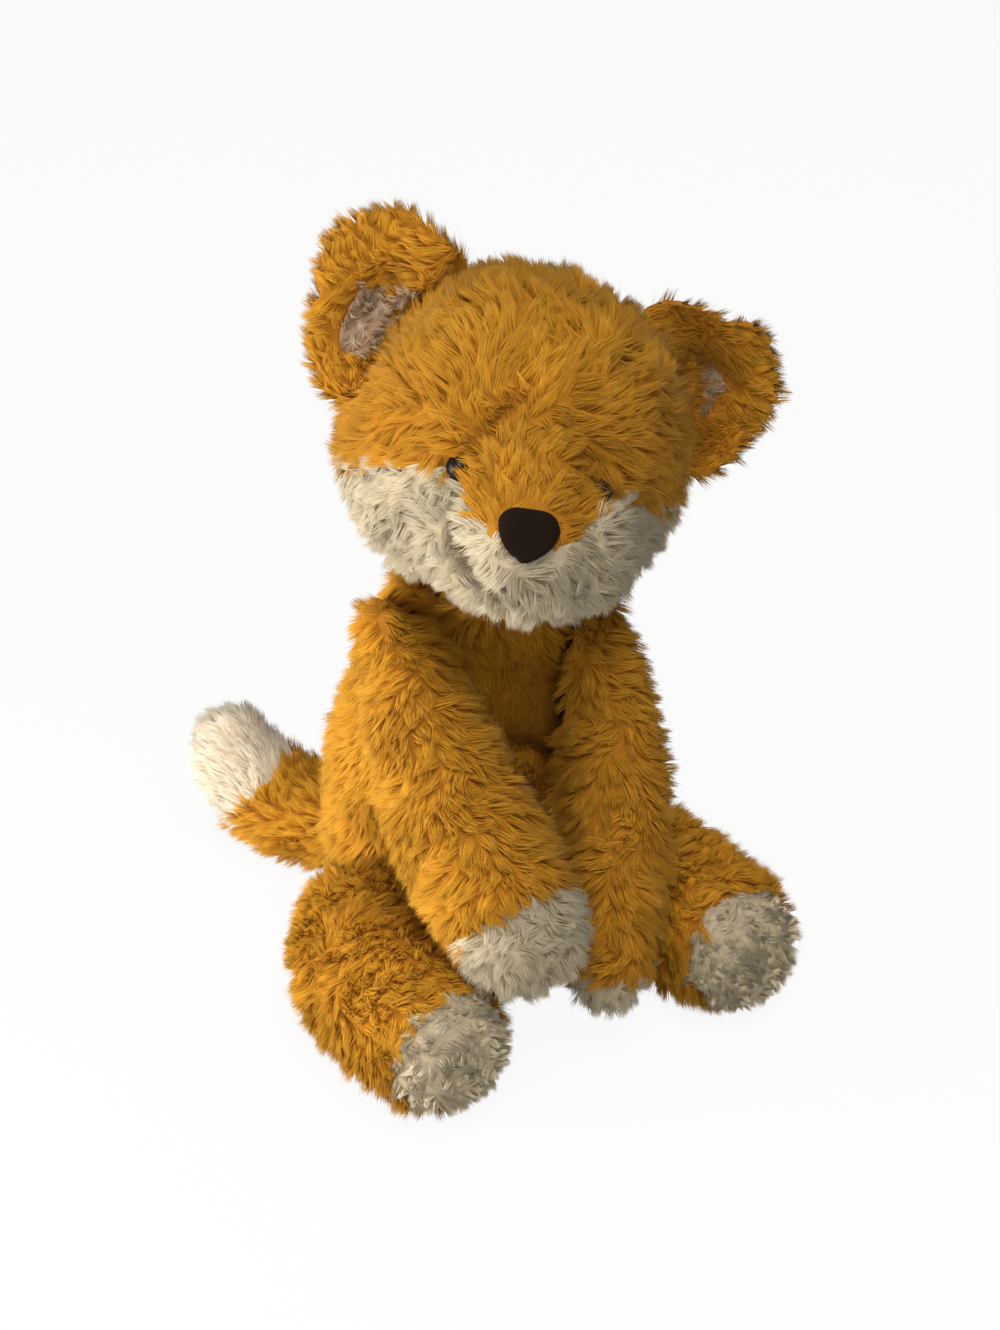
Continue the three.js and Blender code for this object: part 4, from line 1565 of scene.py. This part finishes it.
    def puff(self) -> None:
        """Blows the hides up like the stuffed cloth that they are, held where they are sewn on."""
        starts = [coordinates(form.hide.data) for form in self.forms]
        for form in self.forms:
            cloth = form.hide.modifiers.new("cloth", "CLOTH")
            settings = cloth.settings
            settings.quality = 4
            settings.mass = 0.2
            settings.use_pressure = True
            settings.uniform_pressure_force = 3.0
            settings.effector_weights.gravity = 0.0
            settings.vertex_group_mass = "sewn"
            cloth.point_cache.frame_start = 1
            cloth.point_cache.frame_end = PUFF_FRAMES
        for number in range(1, PUFF_FRAMES + 1):
            bpy.context.scene.frame_set(number)
        for form, start in zip(self.forms, starts):
            form.puff(start)
        bpy.context.scene.frame_set(1)

    def dress_washers(self) -> None:
        """Gives the lock washers their own plastic."""
        finish = GlossFinish("washer_plastic", (0.55, 0.55, 0.5), 0.4).material()
        for side in SIDES:
            node = frame["nodes"][f"eye_washer_{side}"]
            node.data.materials.clear()
            node.data.materials.append(finish)


@dataclass(frozen=True)
class Lamp:
    """A soft lamp: where it stands, its power in watts, its size and its colour."""

    name: str
    place: Triple
    power: float
    size: float
    colour: Triple


@dataclass
class Studio:
    """The pale floor, the soft lamps and the camera at the photograph's angle."""

    azimuth: float = -26.0
    elevation: float = 27.0
    distance: float = 0.9
    target: Triple = (0.0, -0.02, 0.12)
    focal_pixels: float = 2480.0
    shift_pixels: tuple[float, float] = (-2.0, 32.0)
    sensor: float = 36.0
    floor_size: float = 12.0
    floor_share: float = 0.93
    world_light: float = 0.23
    lamps: tuple[Lamp, ...] = (
        Lamp("key", (-1.5, 0.2, 0.4), 13.0, 0.8, (1.0, 0.94, 0.84)),
        Lamp("side", (-0.55, -0.05, 0.08), 2.4, 0.3, (1.0, 0.94, 0.84)),
        Lamp("top", (-0.35, -0.9, 1.45), 21.0, 0.9, (1.0, 0.95, 0.87)),
    )

    def build(self) -> None:
        """Makes all of it, with colours that are shown as they are."""
        self.add_floor()
        for lamp in self.lamps:
            self.add_lamp(lamp)
        self.add_world()
        self.add_camera()
        bpy.context.scene.view_settings.view_transform = "Standard"

    def add_floor(self) -> None:
        """Makes a white floor that keeps a soft shadow."""
        shape = bmesh.new()
        bmesh.ops.create_grid(shape, x_segments=1, y_segments=1, size=self.floor_size)
        mesh = mesh_of("studio_floor", shape)
        recipe = Recipe(bpy.data.materials.new("studio_white"))
        matt = recipe.term("ShaderNodeBsdfPrincipled", {"Base Color": (0.8, 0.8, 0.8, 1), "Roughness": 0.9})
        white = recipe.term("ShaderNodeEmission", {"Color": (1, 1, 1, 1), "Strength": 1.0})
        mixed = recipe.node("ShaderNodeMixShader", {0: recipe.seen() * self.floor_share, 1: matt, 2: white})
        mesh.materials.append(recipe.done(mixed))
        new_object("studio_floor", mesh)

    def aim(self, holder: bpy.types.Object, place: Vector) -> None:
        """Puts a lamp or the camera at a place, where it looks at the target."""
        holder.location = place
        holder.rotation_euler = (Vector(self.target) - place).to_track_quat("-Z", "Y").to_euler()

    def add_lamp(self, lamp: Lamp) -> None:
        """Makes one lamp.

        Args:
            lamp: What it is like.
        """
        light = bpy.data.lights.new(lamp.name, "AREA")
        light.energy = lamp.power
        light.size = lamp.size
        light.color = lamp.colour
        self.aim(new_object(lamp.name, light), Vector(lamp.place))

    def add_world(self) -> None:
        """Makes a world that is white to look at and a weak light otherwise."""
        world = bpy.data.worlds.new("studio_world")
        recipe = Recipe(world)
        seen = recipe.seen()
        strength = (1 - seen) * self.world_light + seen
        back = recipe.node("ShaderNodeBackground", {"Color": (1, 1, 1, 1), "Strength": strength})
        bpy.context.scene.world = recipe.done(back, "ShaderNodeOutputWorld")

    def add_camera(self) -> None:
        """Puts the camera where the photograph was taken from."""
        lens = bpy.data.cameras.new("photo_camera")
        lens.sensor_fit = "AUTO"
        lens.sensor_width = self.sensor
        lens.lens = self.sensor * self.focal_pixels / PHOTO_HEIGHT
        lens.shift_x, lens.shift_y = (shift / PHOTO_HEIGHT for shift in self.shift_pixels)
        camera = new_object("photo_camera", lens)
        turn, lift = math.radians(self.azimuth), math.radians(self.elevation)
        away = Vector((math.sin(turn) * math.cos(lift), -math.cos(turn) * math.cos(lift), math.sin(lift)))
        self.aim(camera, Vector(self.target) + away * self.distance)
        bpy.context.scene.camera = camera


def main() -> None:
    """Builds the studio and the fox."""
    logging.basicConfig(level=logging.INFO, format="%(name)s %(message)s")
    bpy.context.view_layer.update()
    Studio().build()
    fox = Fox()
    fox.build(Wisp(), 1.0)


if __name__ == "__main__":
    main()
